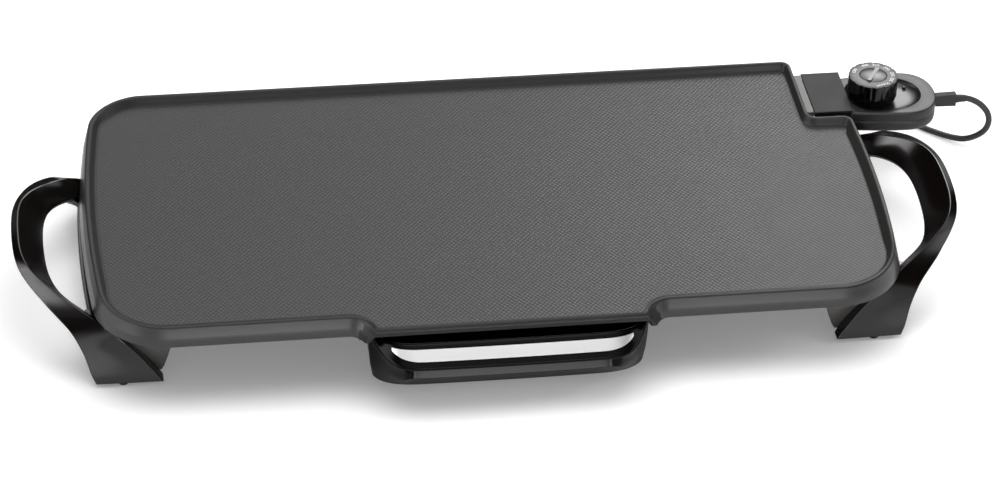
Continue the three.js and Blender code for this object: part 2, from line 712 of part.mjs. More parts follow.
// Tray wall from the floor's edge, up the outside, over the top and down the inside, as
// [outwards, height]: at the front it is the visor with its finger lip, elsewhere a plain flange.
const visorReach = trayFront - visorFront;
const frontProfile = [
  [-3, trayFloorHeight], [-0.6, trayFloorHeight], [0.8, trayFloorHeight + 1.2], [9.2, 30],
  [9.4, visorLipHeight - 2.4], [visorReach - 1.6, visorLipHeight - 0.9], [visorReach - 0.2, visorLipHeight],
  [visorReach - 0.4, visorLipHeight + 1.2], [visorReach - 2.8, visorLipHeight + 2.1],
  [visorReach - 9.9, visorTopHeight - 3], [visorReach - 13.8, visorTopHeight],
  [visorReach - 15.2, visorTopHeight - 0.4], [visorReach - 15.6, visorLipHeight + 1.5], [5.6, 34],
  [-3, trayFloorHeight + 3],
];
const sideProfile = [
  [-3, trayFloorHeight], [-0.6, trayFloorHeight], [0.8, trayFloorHeight + 1.2], [1.6, 26],
  [2.4, guideBottom - 4], [2.6, guideBottom], [2.8, trayRimHeight - 1.8],
  [trayFlange - 0.6, trayRimHeight - 1.8], [trayFlange, trayRimHeight - 1.2], [trayFlange, trayRimHeight - 0.5],
  [trayFlange - 0.5, trayRimHeight], [1.2, trayRimHeight], [0.2, trayRimHeight - 1], [-1, 30],
  [-3, trayFloorHeight + 3],
];

function trayRings() {
  const outline = trayOutline();
  const shares = outline.map(({ y }) => THREE.MathUtils.smoothstep(y, trayFront + 3, trayFront + 14));
  return frontProfile.map((_, level) => {
    const at = (i, which) => between(frontProfile[level][which], sideProfile[level][which], shares[i]);
    const moved = offset(outline, (point) => at(outline.indexOf(point), 0));
    return moved.map((point, i) => new THREE.Vector3(point.x, point.y, at(i, 1)));
  });
}
const rings = trayRings();
add('drip_tray', loft(rings), glossBlack());

// A thin crescent laid on the visor's sloping face: full height in the middle, pointed at its tips.
function trayBadge() {
  const lower = rings[8];
  const upper = rings[9];
  const across = lower.map((point, i) => i).filter((i) => lower[i].y < trayFront - 4 && Math.abs(lower[i].x) < trayHalf - 9);
  across.sort((a, b) => lower[a].x - lower[b].x);
  const reach = Math.abs(lower[across[0]].x) + 0.5;
  const outline = across.map((i) => {
    const share = 1 - (lower[i].x / reach) ** 4;
    const low = lower[i].clone().lerp(upper[i], between(0.55, 0.05, share));
    const high = lower[i].clone().lerp(upper[i], between(0.75, 0.97, share));
    const outward = new THREE.Vector3(0, lower[i].z - upper[i].z, lower[i].y - upper[i].y).normalize();
    if (outward.z < 0) outward.negate();
    const lift = (point, distance) => point.clone().addScaledVector(outward, distance);
    return [
      lift(high, seatGap + 0.1), lift(high, seatGap + badgeThickness),
      lift(low, seatGap + badgeThickness), lift(low, seatGap + 0.1),
    ];
  });
  return ribbon(outline);
}

// A skin over a row of four-cornered sections, with the first and last sections as its ends.
function ribbon(sections) {
  const count = 4;
  const last = (sections.length - 1) * count;
  const indices = [0, 2, 1, 0, 3, 2, last, last + 1, last + 2, last, last + 2, last + 3];
  for (let section = 0; section < last; section += count) {
    for (let i = 0; i < count; i += 1) {
      const next = (i + 1) % count;
      indices.push(section + i, section + next, section + count + next);
      indices.push(section + i, section + count + next, section + count + i);
    }
  }
  const geometry = new THREE.BufferGeometry().setFromPoints(sections.flat());
  geometry.setIndex(indices);
  return geometry;
}
add('tray_badge', trayBadge(), brightMetal());

// ---------------------------------------------------------------- heat control

function controlOutline(shrink) {
  const left = controlLeft + shrink;
  const right = controlRight - shrink;
  const end = controlEndHalf - shrink;
  const half = controlHalf - shrink;
  const widest = controlLeft + 0.62 * controlLength;
  const path = new THREE.Path();
  path.moveTo(left, -end);
  path.quadraticCurveTo(between(left, widest, 0.55), -half, widest, -half);
  path.bezierCurveTo(between(widest, right, 0.72), -half, right, -half * 0.55, right, 0);
  path.bezierCurveTo(right, half * 0.55, between(widest, right, 0.72), half, widest, half);
  path.quadraticCurveTo(between(left, widest, 0.55), half, left, end);
  return path.getPoints(8).map((point) => new THREE.Vector2(point.x, point.y + controlLine));
}

function housingRing(shrink, height) {
  return raise(controlOutline(shrink), () => height);
}

function lowerHousing() {
  const top = controlParting - seatGap / 2;
  const shell = loft([
    housingRing(3, controlBottom), housingRing(1, controlBottom + 1), housingRing(0, controlBottom + 3.5),
    housingRing(0, top),
  ]);
  const hollow = loft([housingRing(controlWall + 1.5, controlBottom + controlWall), housingRing(controlWall, top + 1)]);
  const bosses = housingScrewYs.map((y) => rod('z', 4.4, controlBottom + 1, top, housingScrewX, y, 14));
  const sinks = housingScrewYs.map((y) => (
    rod('z', screwHeadRadius + seatGap, controlBottom - 1, controlBottom + screwHeadHeight + seatGap, housingScrewX, y, 14)
  ));
  const holes = housingScrewYs.map((y) => screwHole(housingScrewX, y, controlBottom, top + 1));
  return cut(join(cut(shell, hollow), ...bosses), ...sinks, ...holes);
}

function upperHousing() {
  const bottom = controlParting + seatGap / 2;
  const shell = loft([housingRing(0, bottom), housingRing(0, controlTop - 1.2), housingRing(1.2, controlTop)]);
  const roof = dialFloor - controlWall;
  const hollow = loft([housingRing(controlWall, bottom - 1), housingRing(controlWall, roof)]);
  const recess = new THREE.Shape();
  const tip = controlRight - 8.5;
  const around = dialRadius + slideGap;
  recess.absarc(dialX, controlLine, around, Math.PI * 0.28, Math.PI * 1.72);
  recess.quadraticCurveTo(tip - 6, controlLine - around * 0.66, tip, controlLine);
  recess.quadraticCurveTo(tip - 6, controlLine + around * 0.66, dialX + around * Math.cos(Math.PI * 0.28),
    controlLine + around * Math.sin(Math.PI * 0.28));
  const bowl = new THREE.ExtrudeGeometry(recess, { depth: dialRecess + 1, bevelEnabled: false, curveSegments: 24 });
  bowl.translate(0, 0, dialFloor);
  const bosses = housingScrewYs.map((y) => rod('z', 3.4, bottom, roof + 0.5, housingScrewX, y, 14));
  const holes = housingScrewYs.map((y) => screwHole(housingScrewX, y, bottom - 1, housingScrewTip + seatGap));
  const shaftHole = rod('z', shaftRadius + slideGap, roof - 1, dialFloor + 1, dialX, controlLine, 16);
  const lensHole = rod('z', pilotRadius + seatGap, roof - 1, dialFloor + 1, pilotX, controlLine, 14);
  return cut(join(cut(shell, hollow, bowl), ...bosses), ...holes, shaftHole, lensHole);
}

const housingScrewX = controlLeft + 8.5;
const housingScrewYs = [controlLine - housingScrewHalf, controlLine + housingScrewHalf];
const housingScrewTip = dialFloor - 1.4;
const pilotX = dialX + pilotOffset;
const housingRoof = dialFloor - controlWall;

add('control_lower_housing', lowerHousing(), satinBlack());
add('control_upper_housing', upperHousing(), satinBlack());
housingScrewYs.forEach((y, i) => {
  screw(`housing_screw_${i + 1}`, housingScrewX, y, controlBottom + screwHeadHeight, housingScrewTip);
});

function controlGuard() {
  const right = controlLeft - seatGap;
  const front = controlLine - shroudHalf;
  const back = controlLine + shroudHalf;
  const top = box(shroudLeft, right, front, back, shroudTop - shroudSheet, shroudTop);
  const wallTop = shroudTop - shroudSheet + 0.5;
  const wallBottom = controlBottom + 2.5;
  const walls = [front + shroudInset, back - shroudInset - shroudSheet].map((y) => (
    box(shroudLeft + 1, right, y, y + shroudSheet, wallBottom, wallTop)
  ));
  return join(top, ...walls);
}
add('control_guard', controlGuard(), satinBlack());

function probe() {
  const tip = controlLeft - seatGap - probeLength;
  const profile = [[0, 0], [probeRadius * 0.6, 0.7], [probeRadius, 2.6], [probeRadius, probeLength], [0, probeLength]];
  const points = profile.map(([r, x]) => new THREE.Vector2(r, x));
  return new THREE.LatheGeometry(points, 14).rotateZ(-Math.PI / 2).translate(tip, controlLine, terminalHeight);
}
add('temperature_probe', probe(), steel());

for (const [place, y] of [['front', frontPin], ['rear', rearPin]]) {
  const from = guardRight + 5;
  const to = controlLeft - 2 * seatGap;
  const sleeve = rod('x', pinRadius + 1.8, from, to, y, terminalHeight, 14);
  const bore = rod('x', pinRadius + slideGap, from - 1, pinRight + 1, y, terminalHeight, 14);
  add(`contact_socket_${place}`, cut(sleeve, bore), brass());
}

const frameTop = controlParting - seatGap;
const frameBottom = controlBottom + controlWall + 2 * seatGap;
add('thermostat_frame', box(dialX - 4, dialX + 18, controlLine - 8, controlLine + 8, frameBottom, frameTop), steel());
const bladeMiddle = (frameBottom + frameTop) / 2;
add('contact_blade', box(dialX + 18.3, dialX + 32, controlLine - 3, controlLine + 3, bladeMiddle - 2, bladeMiddle - 1.2),
  brass());
add('pilot_lamp', rod('z', 2.1, frameTop - 2.6, housingRoof - seatGap, pilotX, controlLine, 12), amber());
add('pilot_lens', rod('z', pilotRadius, housingRoof, dialFloor + 0.4, pilotX, controlLine, 12), amber());

// ---------------------------------------------------------------- temperature dial

function dialBody() {
  const bottom = dialFloor + slideGap;
  const hub = shaftRadius + 2.8;
  const bore = shaftRadius + seatGap;
  const roof = dialTop - 3;
  const profile = [
    [0, dialTop - 7], [bore, dialTop - 7], [bore, bottom + 2], [hub, bottom + 2], [hub, roof],
    [dialRadius - dialWall - 0.9, roof], [dialRadius - dialWall, bottom], [dialRadius, bottom],
    [dialRadius - 0.7, dialTop - 0.6], [dialRadius - 1.3, dialTop], [dialCapRadius + seatGap, dialTop],
    [dialCapRadius + seatGap, dialTop - 1.2], [0, dialTop - 1.2],
  ].map(([r, z]) => new THREE.Vector2(r, z));
  return new THREE.LatheGeometry(profile, 40).rotateX(Math.PI / 2).translate(dialX, controlLine, 0);
}
add('temperature_dial', dialBody(), dialGrey());

function dialCap() {
  const seat = dialTop - 1.2 + seatGap;
  const profile = [
    [0, seat], [dialCapRadius, seat], [dialCapRadius, dialTop], [dialCapRadius * 0.7, dialTop + 0.7],
    [0, dialTop + 1],
  ].map(([r, z]) => new THREE.Vector2(r, z));
  const dome = new THREE.LatheGeometry(profile, 24).rotateX(Math.PI / 2);
  const bar = box(-dialCapRadius + 0.8, dialCapRadius - 0.8, -1.8, 1.8, dialTop - 0.5, dialTop + 1.4).rotateZ(barAngle);
  return join(dome, bar).translate(dialX, controlLine, 0);
}
add('dial_cap', dialCap(), brightMetal());
add('dial_shaft', rod('z', shaftRadius, controlParting, dialTop - 7 - seatGap, dialX, controlLine, 14), steel());

// ---------------------------------------------------------------- cord

const reliefLeft = controlRight + seatGap;
const reliefRight = reliefLeft + reliefLength;
function strainRelief() {
  const half = reliefWidth / 2;
  const low = reliefMiddle - reliefHeight / 2;
  const high = reliefMiddle + reliefHeight / 2;
  const outline = [
    [reliefLeft, low + 0.6], [reliefRight - 1, low], [reliefRight, low + 1], [reliefRight, high - 1],
    [reliefRight - 1, high], [reliefLeft, high - 0.6],
  ];
  return prism('y', outline, controlLine - half, controlLine + half);
}
add('strain_relief', strainRelief(), rubber());

const tableCord = cordRadius + 0.1;
const coilBottom = tieThickness + 2 * seatGap;
const coilEntryX = coilX + 14;
const coilEntryZ = coilBottom + cordRadius + seatGap;
// From the strain relief down to the table, then round behind the plate: each point is measured from
// the strain relief's end, and the last ones from the coil that they run into.
const cordLeaving = [
  [0.5, 0, reliefMiddle], [10.4, 0.8, reliefMiddle - 1.2], [19, 0.6, 43], [25.1, -0.4, 36], [27.3, -0.2, 28],
  [25.6, 1.5, 19], [19.9, 4.5, 12], [12.6, 9, 7], [5.8, 16.2, 4], [-1.7, 23.4, tableCord + 0.3],
  [-12.6, 33.7, tableCord], [-25.2, 48, tableCord], [-46.2, 69, tableCord], [-76.2, 88, tableCord],
];
const cordArriving = [[75, -5.5, tableCord + 0.2], [42, -0.6, coilEntryZ - 0.6], [14, 0, coilEntryZ]];
const cordPath = [
  ...cordLeaving.map(([x, y, z]) => [reliefRight + x, controlLine + y, z]),
  ...cordArriving.map(([x, y, z]) => [coilX + x, coilY + coilRadius + y, z]),
];

function powerCord() {
  const curve = new THREE.CatmullRomCurve3(cordPath.map((point) => new THREE.Vector3(...point)), false, 'centripetal');
  const section = new THREE.Shape().absarc(0, 0, cordRadius, 0, Math.PI * 2);
  return new THREE.ExtrudeGeometry(section, { steps: 44, curveSegments: 4, extrudePath: curve });
}
add('power_cord', powerCord(), rubber());

function cordCoil() {
  const half = coilBand / 2;
  const soft = half * 0.4;
  const profile = [
    [-half, -soft], [-soft, -half], [soft, -half], [half, -soft],
    [half, soft], [soft, half], [-soft, half], [-half, soft], [-half, -soft],
  ].map(([r, z]) => new THREE.Vector2(coilRadius + r, z));
  const ring = new THREE.LatheGeometry(profile, 40).rotateX(Math.PI / 2).translate(coilX, coilY, coilBottom + half);
  const entry = rod('x', cordRadius + seatGap, coilEntryX - seatGap, coilX + 60, coilY + coilRadius, coilEntryZ, 12);
  return cut(ring, entry);
}
add('cord_coil', cordCoil(), rubber());

function cordTie() {
  const half = coilBand / 2 + seatGap;
  const middle = coilBottom + coilBand / 2;
  const x = coilX - coilRadius;
  const outer = box(x - half - tieThickness, x + half + tieThickness, coilY - tieWidth / 2, coilY + tieWidth / 2,
    middle - half - tieThickness, middle + half + tieThickness);
  const inner = box(x - half - 0.6, x + half + 0.6, coilY - tieWidth, coilY + tieWidth, middle - half, middle + half);
  return cut(outer, inner);
}
add('cord_tie', cordTie(), rubber());

const plugY = coilY - coilRadius;
const plugZ = plugHeight / 2 + 0.2;
const plugLeft = coilX + Math.sqrt((coilRadius + coilBand / 2) ** 2 - (coilRadius - 3.5) ** 2) + 1 + plugNeck;
const plugRight = plugLeft + plugLength;
function cordPlug() {
  const body = box(plugLeft, plugRight, plugY - plugWidth / 2, plugY + plugWidth / 2, plugZ - plugHeight / 2,
    plugZ + plugHeight / 2);
  return join(body, rod('x', cordRadius + 0.8, plugLeft - plugNeck, plugLeft + 1, plugY, plugZ, 12));
}
add('cord_plug', cordPlug(), rubber());
for (const [place, shift] of [['a', -bladeSpacing / 2], ['b', bladeSpacing / 2]]) {
  const y = plugY + shift;
  const from = plugRight + seatGap;
  add(`plug_blade_${place}`, box(from, from + bladeLength, y - 0.75, y + 0.75, plugZ - 3.15, plugZ + 3.15), brass());
}

// ---------------------------------------------------------------- origin under the middle

const cordNames = ['power_cord', 'cord_coil', 'cord_tie', 'cord_plug', 'plug_blade_a', 'plug_blade_b'];
const bounds = new THREE.Box3();
for (const mesh of griddle.children) {
  if (!cordNames.includes(mesh.name)) bounds.expandByObject(mesh);
}
const middle = bounds.getCenter(new THREE.Vector3());
for (const mesh of griddle.children) mesh.geometry.translate(-middle.x, -middle.y, -bounds.min.z);

export default griddle;
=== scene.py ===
"""Dresses the electric griddle: a coated cast plate on two black handles that are also its legs,
with a slide-out drip tray and a plug-in heat control. Sizes in the shape functions are millimetres
from the middle of the plate, with the table at 0, and place() turns them into the frame's metres."""

import math

import bmesh
import bpy
from mathutils import Matrix, Vector


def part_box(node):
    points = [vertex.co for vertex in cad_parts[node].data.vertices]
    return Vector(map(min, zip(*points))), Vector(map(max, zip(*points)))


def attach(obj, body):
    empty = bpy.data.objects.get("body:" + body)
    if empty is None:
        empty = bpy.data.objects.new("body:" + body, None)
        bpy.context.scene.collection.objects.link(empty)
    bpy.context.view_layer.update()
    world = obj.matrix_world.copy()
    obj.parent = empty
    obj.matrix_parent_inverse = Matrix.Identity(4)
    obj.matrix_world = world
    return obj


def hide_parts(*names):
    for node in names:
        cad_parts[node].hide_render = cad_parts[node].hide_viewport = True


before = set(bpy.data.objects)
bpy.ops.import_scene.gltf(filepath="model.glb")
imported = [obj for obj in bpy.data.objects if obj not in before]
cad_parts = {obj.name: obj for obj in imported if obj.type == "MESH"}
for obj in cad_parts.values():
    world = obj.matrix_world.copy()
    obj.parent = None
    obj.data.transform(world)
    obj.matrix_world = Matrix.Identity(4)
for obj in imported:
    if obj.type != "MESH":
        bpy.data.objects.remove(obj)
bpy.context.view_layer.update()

bl_info = {
    "name": "Electric griddle",
    "version": (1, 0, 0),
    "blender": (4, 5, 0),
    "location": "View3D > Sidebar > Griddle",
    "description": "Builds the griddle's plate, handles, drip tray, heat control, cord and studio",
    "category": "Object",
}

PLATE_LOW, PLATE_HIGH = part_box("griddle_plate")
CONTROL_LOW, CONTROL_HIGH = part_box("control_upper_housing")
CONTROL_LINE = 108.0                # the heat control's middle line, behind the plate's middle
ORIGIN_X = (PLATE_LOW.x + PLATE_HIGH.x) / 2
ORIGIN_Y = (CONTROL_LOW.y + CONTROL_HIGH.y) / 2 - CONTROL_LINE / 1000
UPWARDS = Vector((0, 0, 1))


def place(x, y, z):
    """A point in the shape functions' millimetres, in the frame's metres."""
    return Vector((ORIGIN_X + x / 1000, ORIGIN_Y + y / 1000, z / 1000))


# ------------------------------------------------------------------ settings

def length(name, about, default, low=0.0, high=1.0):
    return bpy.props.FloatProperty(
        name=name, description=about, default=default, min=low, max=high, unit="LENGTH", subtype="DISTANCE",
        precision=5)


def colour(name, about, default):
    return bpy.props.FloatVectorProperty(
        name=name, description=about, default=default, size=3, min=0, max=1, subtype="COLOR")


def share(name, about, default):
    return bpy.props.FloatProperty(name=name, description=about, default=default, min=0, max=1, subtype="FACTOR")


class GriddlePlateSettings(bpy.types.PropertyGroup):
    coating: colour("Coating", "Colour of the non-stick coating", (0.031, 0.0292, 0.0297))
    border: colour("Outer wall", "Colour of the smooth outer wall", (0.02, 0.0195, 0.019))
    # The rim's colour is darker than the coating: painted shade for its sloping inner wall and the lip.
    rim: colour("Rim", "Colour of the raised rim and the lip", (0.012, 0.0115, 0.011))
    knurl_pitch: length("Knurl pitch", "Distance between rows of the fine diamond pattern", 0.0034, 0.0005, 0.01)
    knurl_depth: length("Knurl depth", "Height of the pattern", 0.00023, 0.0, 0.001)
    corner_steps: bpy.props.IntProperty(
        name="Corner steps", description="Points on each curved stretch of the outline", default=18, min=6, max=60)


class GriddleHandleSettings(bpy.types.PropertyGroup):
    plastic: colour("Plastic", "Colour of the moulding", (0.0028, 0.0017, 0.0015))
    # The web's pale colour is painted reflection: it stands in for the bright floor that the webs' glossy faces show.
    web: colour("Web", "Colour of the stiffening webs inside the legs", (0.115, 0.111, 0.106))
    edge_round: length("Edge rounding", "Radius along the grip's edges", 0.0013, 0.0002, 0.004)
    steps: bpy.props.IntProperty(
        name="Steps", description="Sections between two stations of the grip", default=5, min=2, max=20)


class GriddleTraySettings(bpy.types.PropertyGroup):
    plastic: colour("Plastic", "Colour of the tray", (0.0024, 0.0022, 0.002))
    badge: colour("Badge", "Colour of the bare metal crescent", (0.8, 0.8, 0.8))
    badge_half: length("Badge half length", "From the middle of the badge to its tip", 0.0825, 0.03, 0.09)


class GriddleControlSettings(bpy.types.PropertyGroup):
    housing: colour("Housing", "Colour of the satin housing", (0.0085, 0.0087, 0.0085))
    dial_face: colour("Dial face", "Colour of the top of the dial", (0.045, 0.045, 0.045))
    flute_depth: length("Flute depth", "Depth of the shallow flutes round the dial", 0.0006, 0.0, 0.002)
    dial_side: colour("Dial side", "Colour of the glossy skirt of the dial", (0.002, 0.002, 0.002))
    lettering: colour("Lettering", "Colour of the numbers", (0.8, 0.8, 0.79))


class GriddleCordSettings(bpy.types.PropertyGroup):
    thickness: length("Thickness", "Outside diameter of the cord", 0.0046, 0.002, 0.012)
    sheath: colour("Sheath", "Colour of the cord", (0.02, 0.018, 0.016))


class GriddleStageSettings(bpy.types.PropertyGroup):
    lens: bpy.props.FloatProperty(
        name="Lens", description="Focal length on a 36 mm wide sensor", default=130.46, min=20, max=300,
        unit="CAMERA")
    floor: colour("Floor", "Colour of the floor", (0.86, 0.86, 0.86))
    floor_lift: share("Floor lift", "Light added to the floor near the object, as it is seen", 0.185)
    far_lift: share("Far lift", "Light added to the floor away from the object", 0.38)
    shade_reach: bpy.props.FloatVectorProperty(
        name="Shade reach", description="Half width and half depth of the floor that keeps its shade", size=2,
        default=(0.3, 0.15), min=0.1, max=3, unit="LENGTH", subtype="XYZ")


# ------------------------------------------------------------------ points and outlines

def lerp(a, b, t):
    return a + (b - a) * t


def smoothstep(value, low, high):
    t = min(1.0, max(0.0, (value - low) / (high - low)))
    return t * t * (3 - 2 * t)


def line(a, b, steps):
    """Evenly spaced points without the last one."""
    return [Vector(a).lerp(Vector(b), i / steps) for i in range(steps)]


def curve(corners, steps):
    """Points on a Bezier curve of any degree, without its last one."""
    found = []
    for i in range(steps):
        row = [Vector(p) for p in corners]
        while len(row) > 1:
            row = [p.lerp(q, i / steps) for p, q in zip(row, row[1:])]
        found.append(row[0])
    return found


def blend(p, q, a, b, t):
    """Between p, which holds at a, and q, which holds at b."""
    return p * ((b - t) / (b - a)) + q * ((t - a) / (b - a))


def spline(points, steps):
    """Smooth curve through every point: centripetal Catmull-Rom, steps sections between two points."""
    points = [Vector(p) for p in points]
    padded = [points[0] * 2 - points[1], *points, points[-1] * 2 - points[-2]]
    found = []
    for four in zip(padded, padded[1:], padded[2:], padded[3:]):
        knots = [0.0]
        for p, q in zip(four, four[1:]):
            knots.append(knots[-1] + max(1e-9, (q - p).length) ** 0.5)
        for i in range(steps):
            t = lerp(knots[1], knots[2], i / steps)
            a1, a2, a3 = (blend(*ends, t) for ends in zip(four, four[1:], knots, knots[1:]))
            b1, b2 = blend(a1, a2, knots[0], knots[2], t), blend(a2, a3, knots[1], knots[3], t)
            found.append(blend(b1, b2, knots[1], knots[2], t))
    found.append(points[-1])
    return found


def offset(outline, distances):
    """A closed outline moved outwards, by its own distance at each point."""
    moved = []
    for before, point, after, distance in zip(outline[-1:] + outline, outline, outline[1:] + outline[:1], distances):
        arriving = (point - before).normalized()
        leaving = (after - point).normalized()
        normal = Vector((arriving.y + leaving.y, -arriving.x - leaving.x)).normalized()
        stretch = 1 / max(0.6, normal.x * arriving.y - normal.y * arriving.x)
        moved.append(point + normal * distance * stretch)
    return moved


def sided(points, sign):
    """Flat points as they are on the right half, or with sign -1 on the left half."""
    return [(sign * x, y) for x, y in points]


# ------------------------------------------------------------------ mesh tools

def start_loop(bm, points):
    verts = [bm.verts.new(p) for p in points]
    for a, b in zip(verts, verts[1:] + verts[:1]):
        bm.edges.new((a, b))
    return verts


def grow(bm, loop, targets):
    """Extrudes a closed loop of vertices and moves the new ones to their targets."""
    edges = [bm.edges.get((a, b)) for a, b in zip(loop, loop[1:] + loop[:1])]
    made = bmesh.ops.extrude_edge_only(bm, edges=edges)
    fresh = {part for part in made["geom"] if isinstance(part, bmesh.types.BMVert)}
    twins = []
    for vert, target in zip(loop, targets):
        twin = next(e.other_vert(vert) for e in vert.link_edges if e.other_vert(vert) in fresh)
        twin.co = target
        twins.append(twin)
    return twins


def close_loop(bm, loop):
    edges = [bm.edges.get((a, b)) for a, b in zip(loop, loop[1:] + loop[:1])]
    return bmesh.ops.contextual_create(bm, geom=edges)["faces"]


def shell(bm, rings):
    """A skin over rings of equally many points, closed at the first. Returns the last ring's vertices."""
    loop = start_loop(bm, rings[0])
    close_loop(bm, loop)
    for ring in rings[1:]:
        loop = grow(bm, loop, ring)
    return loop


def skin(bm, rings):
    """A closed skin over rings of equally many points. Returns the faces of the last cap."""
    return close_loop(bm, shell(bm, rings))


def mark_new(bm, known, index):
    """Gives the faces made since known was noted another of the piece's materials."""
    for face in set(bm.faces) - known:
        face.material_index = index


def block(bm, low, high):
    """A box between two corners in millimetres."""
    a, b = place(*low), place(*high)
    size = b - a
    matrix = Matrix.Translation((a + b) / 2) @ Matrix.Diagonal((size.x, size.y, size.z, 1))
    bmesh.ops.create_cube(bm, size=1, matrix=matrix)


def plate_of(bm, outline, axis, low, high):
    """A flat outline in millimetres extruded along y or z. Outlines are (x, z) or (x, y)."""
    spread = {"y": lambda u, v, w: place(u, w, v), "z": place}[axis]
    face = close_loop(bm, start_loop(bm, [spread(u, v, low) for u, v in outline]))
    made = bmesh.ops.extrude_face_region(bm, geom=face)
    verts = [part for part in made["geom"] if isinstance(part, bmesh.types.BMVert)]
    bmesh.ops.translate(bm, verts=verts, vec=spread(0, 0, high) - spread(0, 0, low))


def turned(bm, profile, centre, steps):
    """Spins a profile of (radius, height) in millimetres about an upright axis and closes its poles."""
    verts = [bm.verts.new(place(centre[0] + r, centre[1], z)) for r, z in profile]
    edges = [bm.edges.new(pair) for pair in zip(verts, verts[1:])]
    bmesh.ops.spin(bm, geom=verts + edges, cent=place(*centre, 0), axis=(0, 0, 1), angle=math.tau, steps=steps,
                   use_merge=True, use_duplicate=False)
    bmesh.ops.remove_doubles(bm, verts=bm.verts[:], dist=1e-6)


def headings(path):
    """The direction of travel at each point of a path."""
    last = len(path) - 1
    return [(path[min(i + 1, last)] - path[max(i - 1, 0)]).normalized() for i in range(len(path))]


def section(point, side, up, radius, sides):
    """A ring of points round a point of a path."""
    turns = [math.tau * k / sides for k in range(sides)]
    return [point + side * math.cos(a) * radius + up * math.sin(a) * radius for a in turns]


def tube(bm, path, radius, sides):
    """A tube along a path in metres, with its section kept from twisting."""
    along = headings(path)
    side = along[0].cross(UPWARDS).normalized()
    rings = []
    for point, ahead in zip(path, along):
        side = (side - ahead * side.dot(ahead)).normalized()
        rings.append(section(point, side, side.cross(ahead), radius, sides))
    skin(bm, rings)


def squared(steps, power):
    """Unit points round a circle that is pressed outwards, towards a square."""
    found = []
    for k in range(steps):
        c, s = math.cos(math.tau * k / steps), math.sin(math.tau * k / steps)
        found.append((math.copysign(abs(c) ** power, c), math.copysign(abs(s) ** power, s)))
    return found


def show(name, data):
    """A new object in the scene."""
    made = bpy.data.objects.new(name, data)
    bpy.context.scene.collection.objects.link(made)
    return made


def piece(name, bm, body, materials, replaces=(), sharp=35.0, bevel=0.0, segments=2):
    """Turns a finished bmesh into a named object on one of the griddle's bodies."""
    bmesh.ops.remove_doubles(bm, verts=bm.verts[:], dist=1e-7)
    bmesh.ops.recalc_face_normals(bm, faces=bm.faces[:])
    mesh = bpy.data.meshes.new(name)
    bm.to_mesh(mesh)
    bm.free()
    for polygon in mesh.polygons:
        polygon.use_smooth = True
    mesh.set_sharp_from_angle(angle=math.radians(sharp))
    for material in materials:
        mesh.materials.append(material)
    made = show(name, mesh)
    if bevel:
        rounding = made.modifiers.new("Rounded edges", "BEVEL")
        rounding.width = bevel
        rounding.segments = segments
        rounding.limit_method = "ANGLE"
        rounding.angle_limit = math.radians(sharp)
        rounding.harden_normals = True
    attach(made, body)
    if replaces:
        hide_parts(*replaces)
    return made


def copy_of(node):
    """The merged mesh of a CAD node, for a piece that keeps its shape and gets finer edges."""
    bm = bmesh.new()
    bm.from_mesh(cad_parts[node].data)
    bmesh.ops.remove_doubles(bm, verts=bm.verts[:], dist=1e-6)
    bmesh.ops.dissolve_limit(bm, angle_limit=math.radians(1.0), verts=bm.verts[:], edges=bm.edges[:])
    return bm


def dress(node, material):
    """Gives a CAD node that keeps its own mesh its finish."""
    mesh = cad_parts[node].data
    mesh.materials.clear()
    mesh.materials.append(material)


# ------------------------------------------------------------------ node tools and shared shader groups

def once(kind):
    """For a function that makes a data block of some kind: a block that already has the name is reused."""
    def wrap(build):
        return lambda name, *args, **given: getattr(bpy.data, kind).get(name) or build(name, *args, **given)
    return wrap


def feed(tree, socket, value):
    """Links a socket to another one, or gives it a plain value."""
    if isinstance(value, bpy.types.NodeSocket):
        tree.links.new(value, socket)
    else:
        socket.default_value = value


def add_node(tree, kind, values, **settings):
    node = tree.nodes.new(f"ShaderNode{kind}")
    for name, value in settings.items():
        setattr(node, name, value)
    for name, value in values.items():
        feed(tree, node.inputs[name], value)
    return node


def coordinates(tree, kind):
    return add_node(tree, "TexCoord", {}).outputs[kind]


def split_axes(tree, vector):
    return add_node(tree, "SeparateXYZ", {"Vector": vector}).outputs


def new_group(name, inputs, outputs):
    group = bpy.data.node_groups.new(name, "ShaderNodeTree")
    for label, kind, default in inputs:
        group.interface.new_socket(name=label, in_out="INPUT", socket_type=kind).default_value = default
    for label, kind in outputs:
        group.interface.new_socket(name=label, in_out="OUTPUT", socket_type=kind)
    return group, group.nodes.new("NodeGroupInput"), group.nodes.new("NodeGroupOutput")


def math_node(tree, operation, *values, clamp=False):
    return add_node(tree, "Math", dict(enumerate(values)), operation=operation, use_clamp=clamp).outputs[0]


def map_range(tree, value, low=0.0, high=1.0, first=0.0, second=1.0, smooth=False):
    """first where the value is low and second where it is high."""
    node = add_node(tree, "MapRange",
                    {"Value": value, "From Min": low, "From Max": high, "To Min": first, "To Max": second},
                    interpolation_type="SMOOTHSTEP" if smooth else "LINEAR")
    return node.outputs["Result"]


def colour_mix(tree, factor, first, second):
    node = add_node(tree, "Mix", {"Factor": factor, "A": first, "B": second}, data_type="RGBA")
    return node.outputs["Result"]


def shaded(tree, base, factor):
    """A colour times a factor."""
    return add_node(tree, "VectorMath", {0: base, "Scale": factor}, operation="SCALE").outputs[0]


def one_minus(tree, value):
    return math_node(tree, "SUBTRACT", 1.0, value)


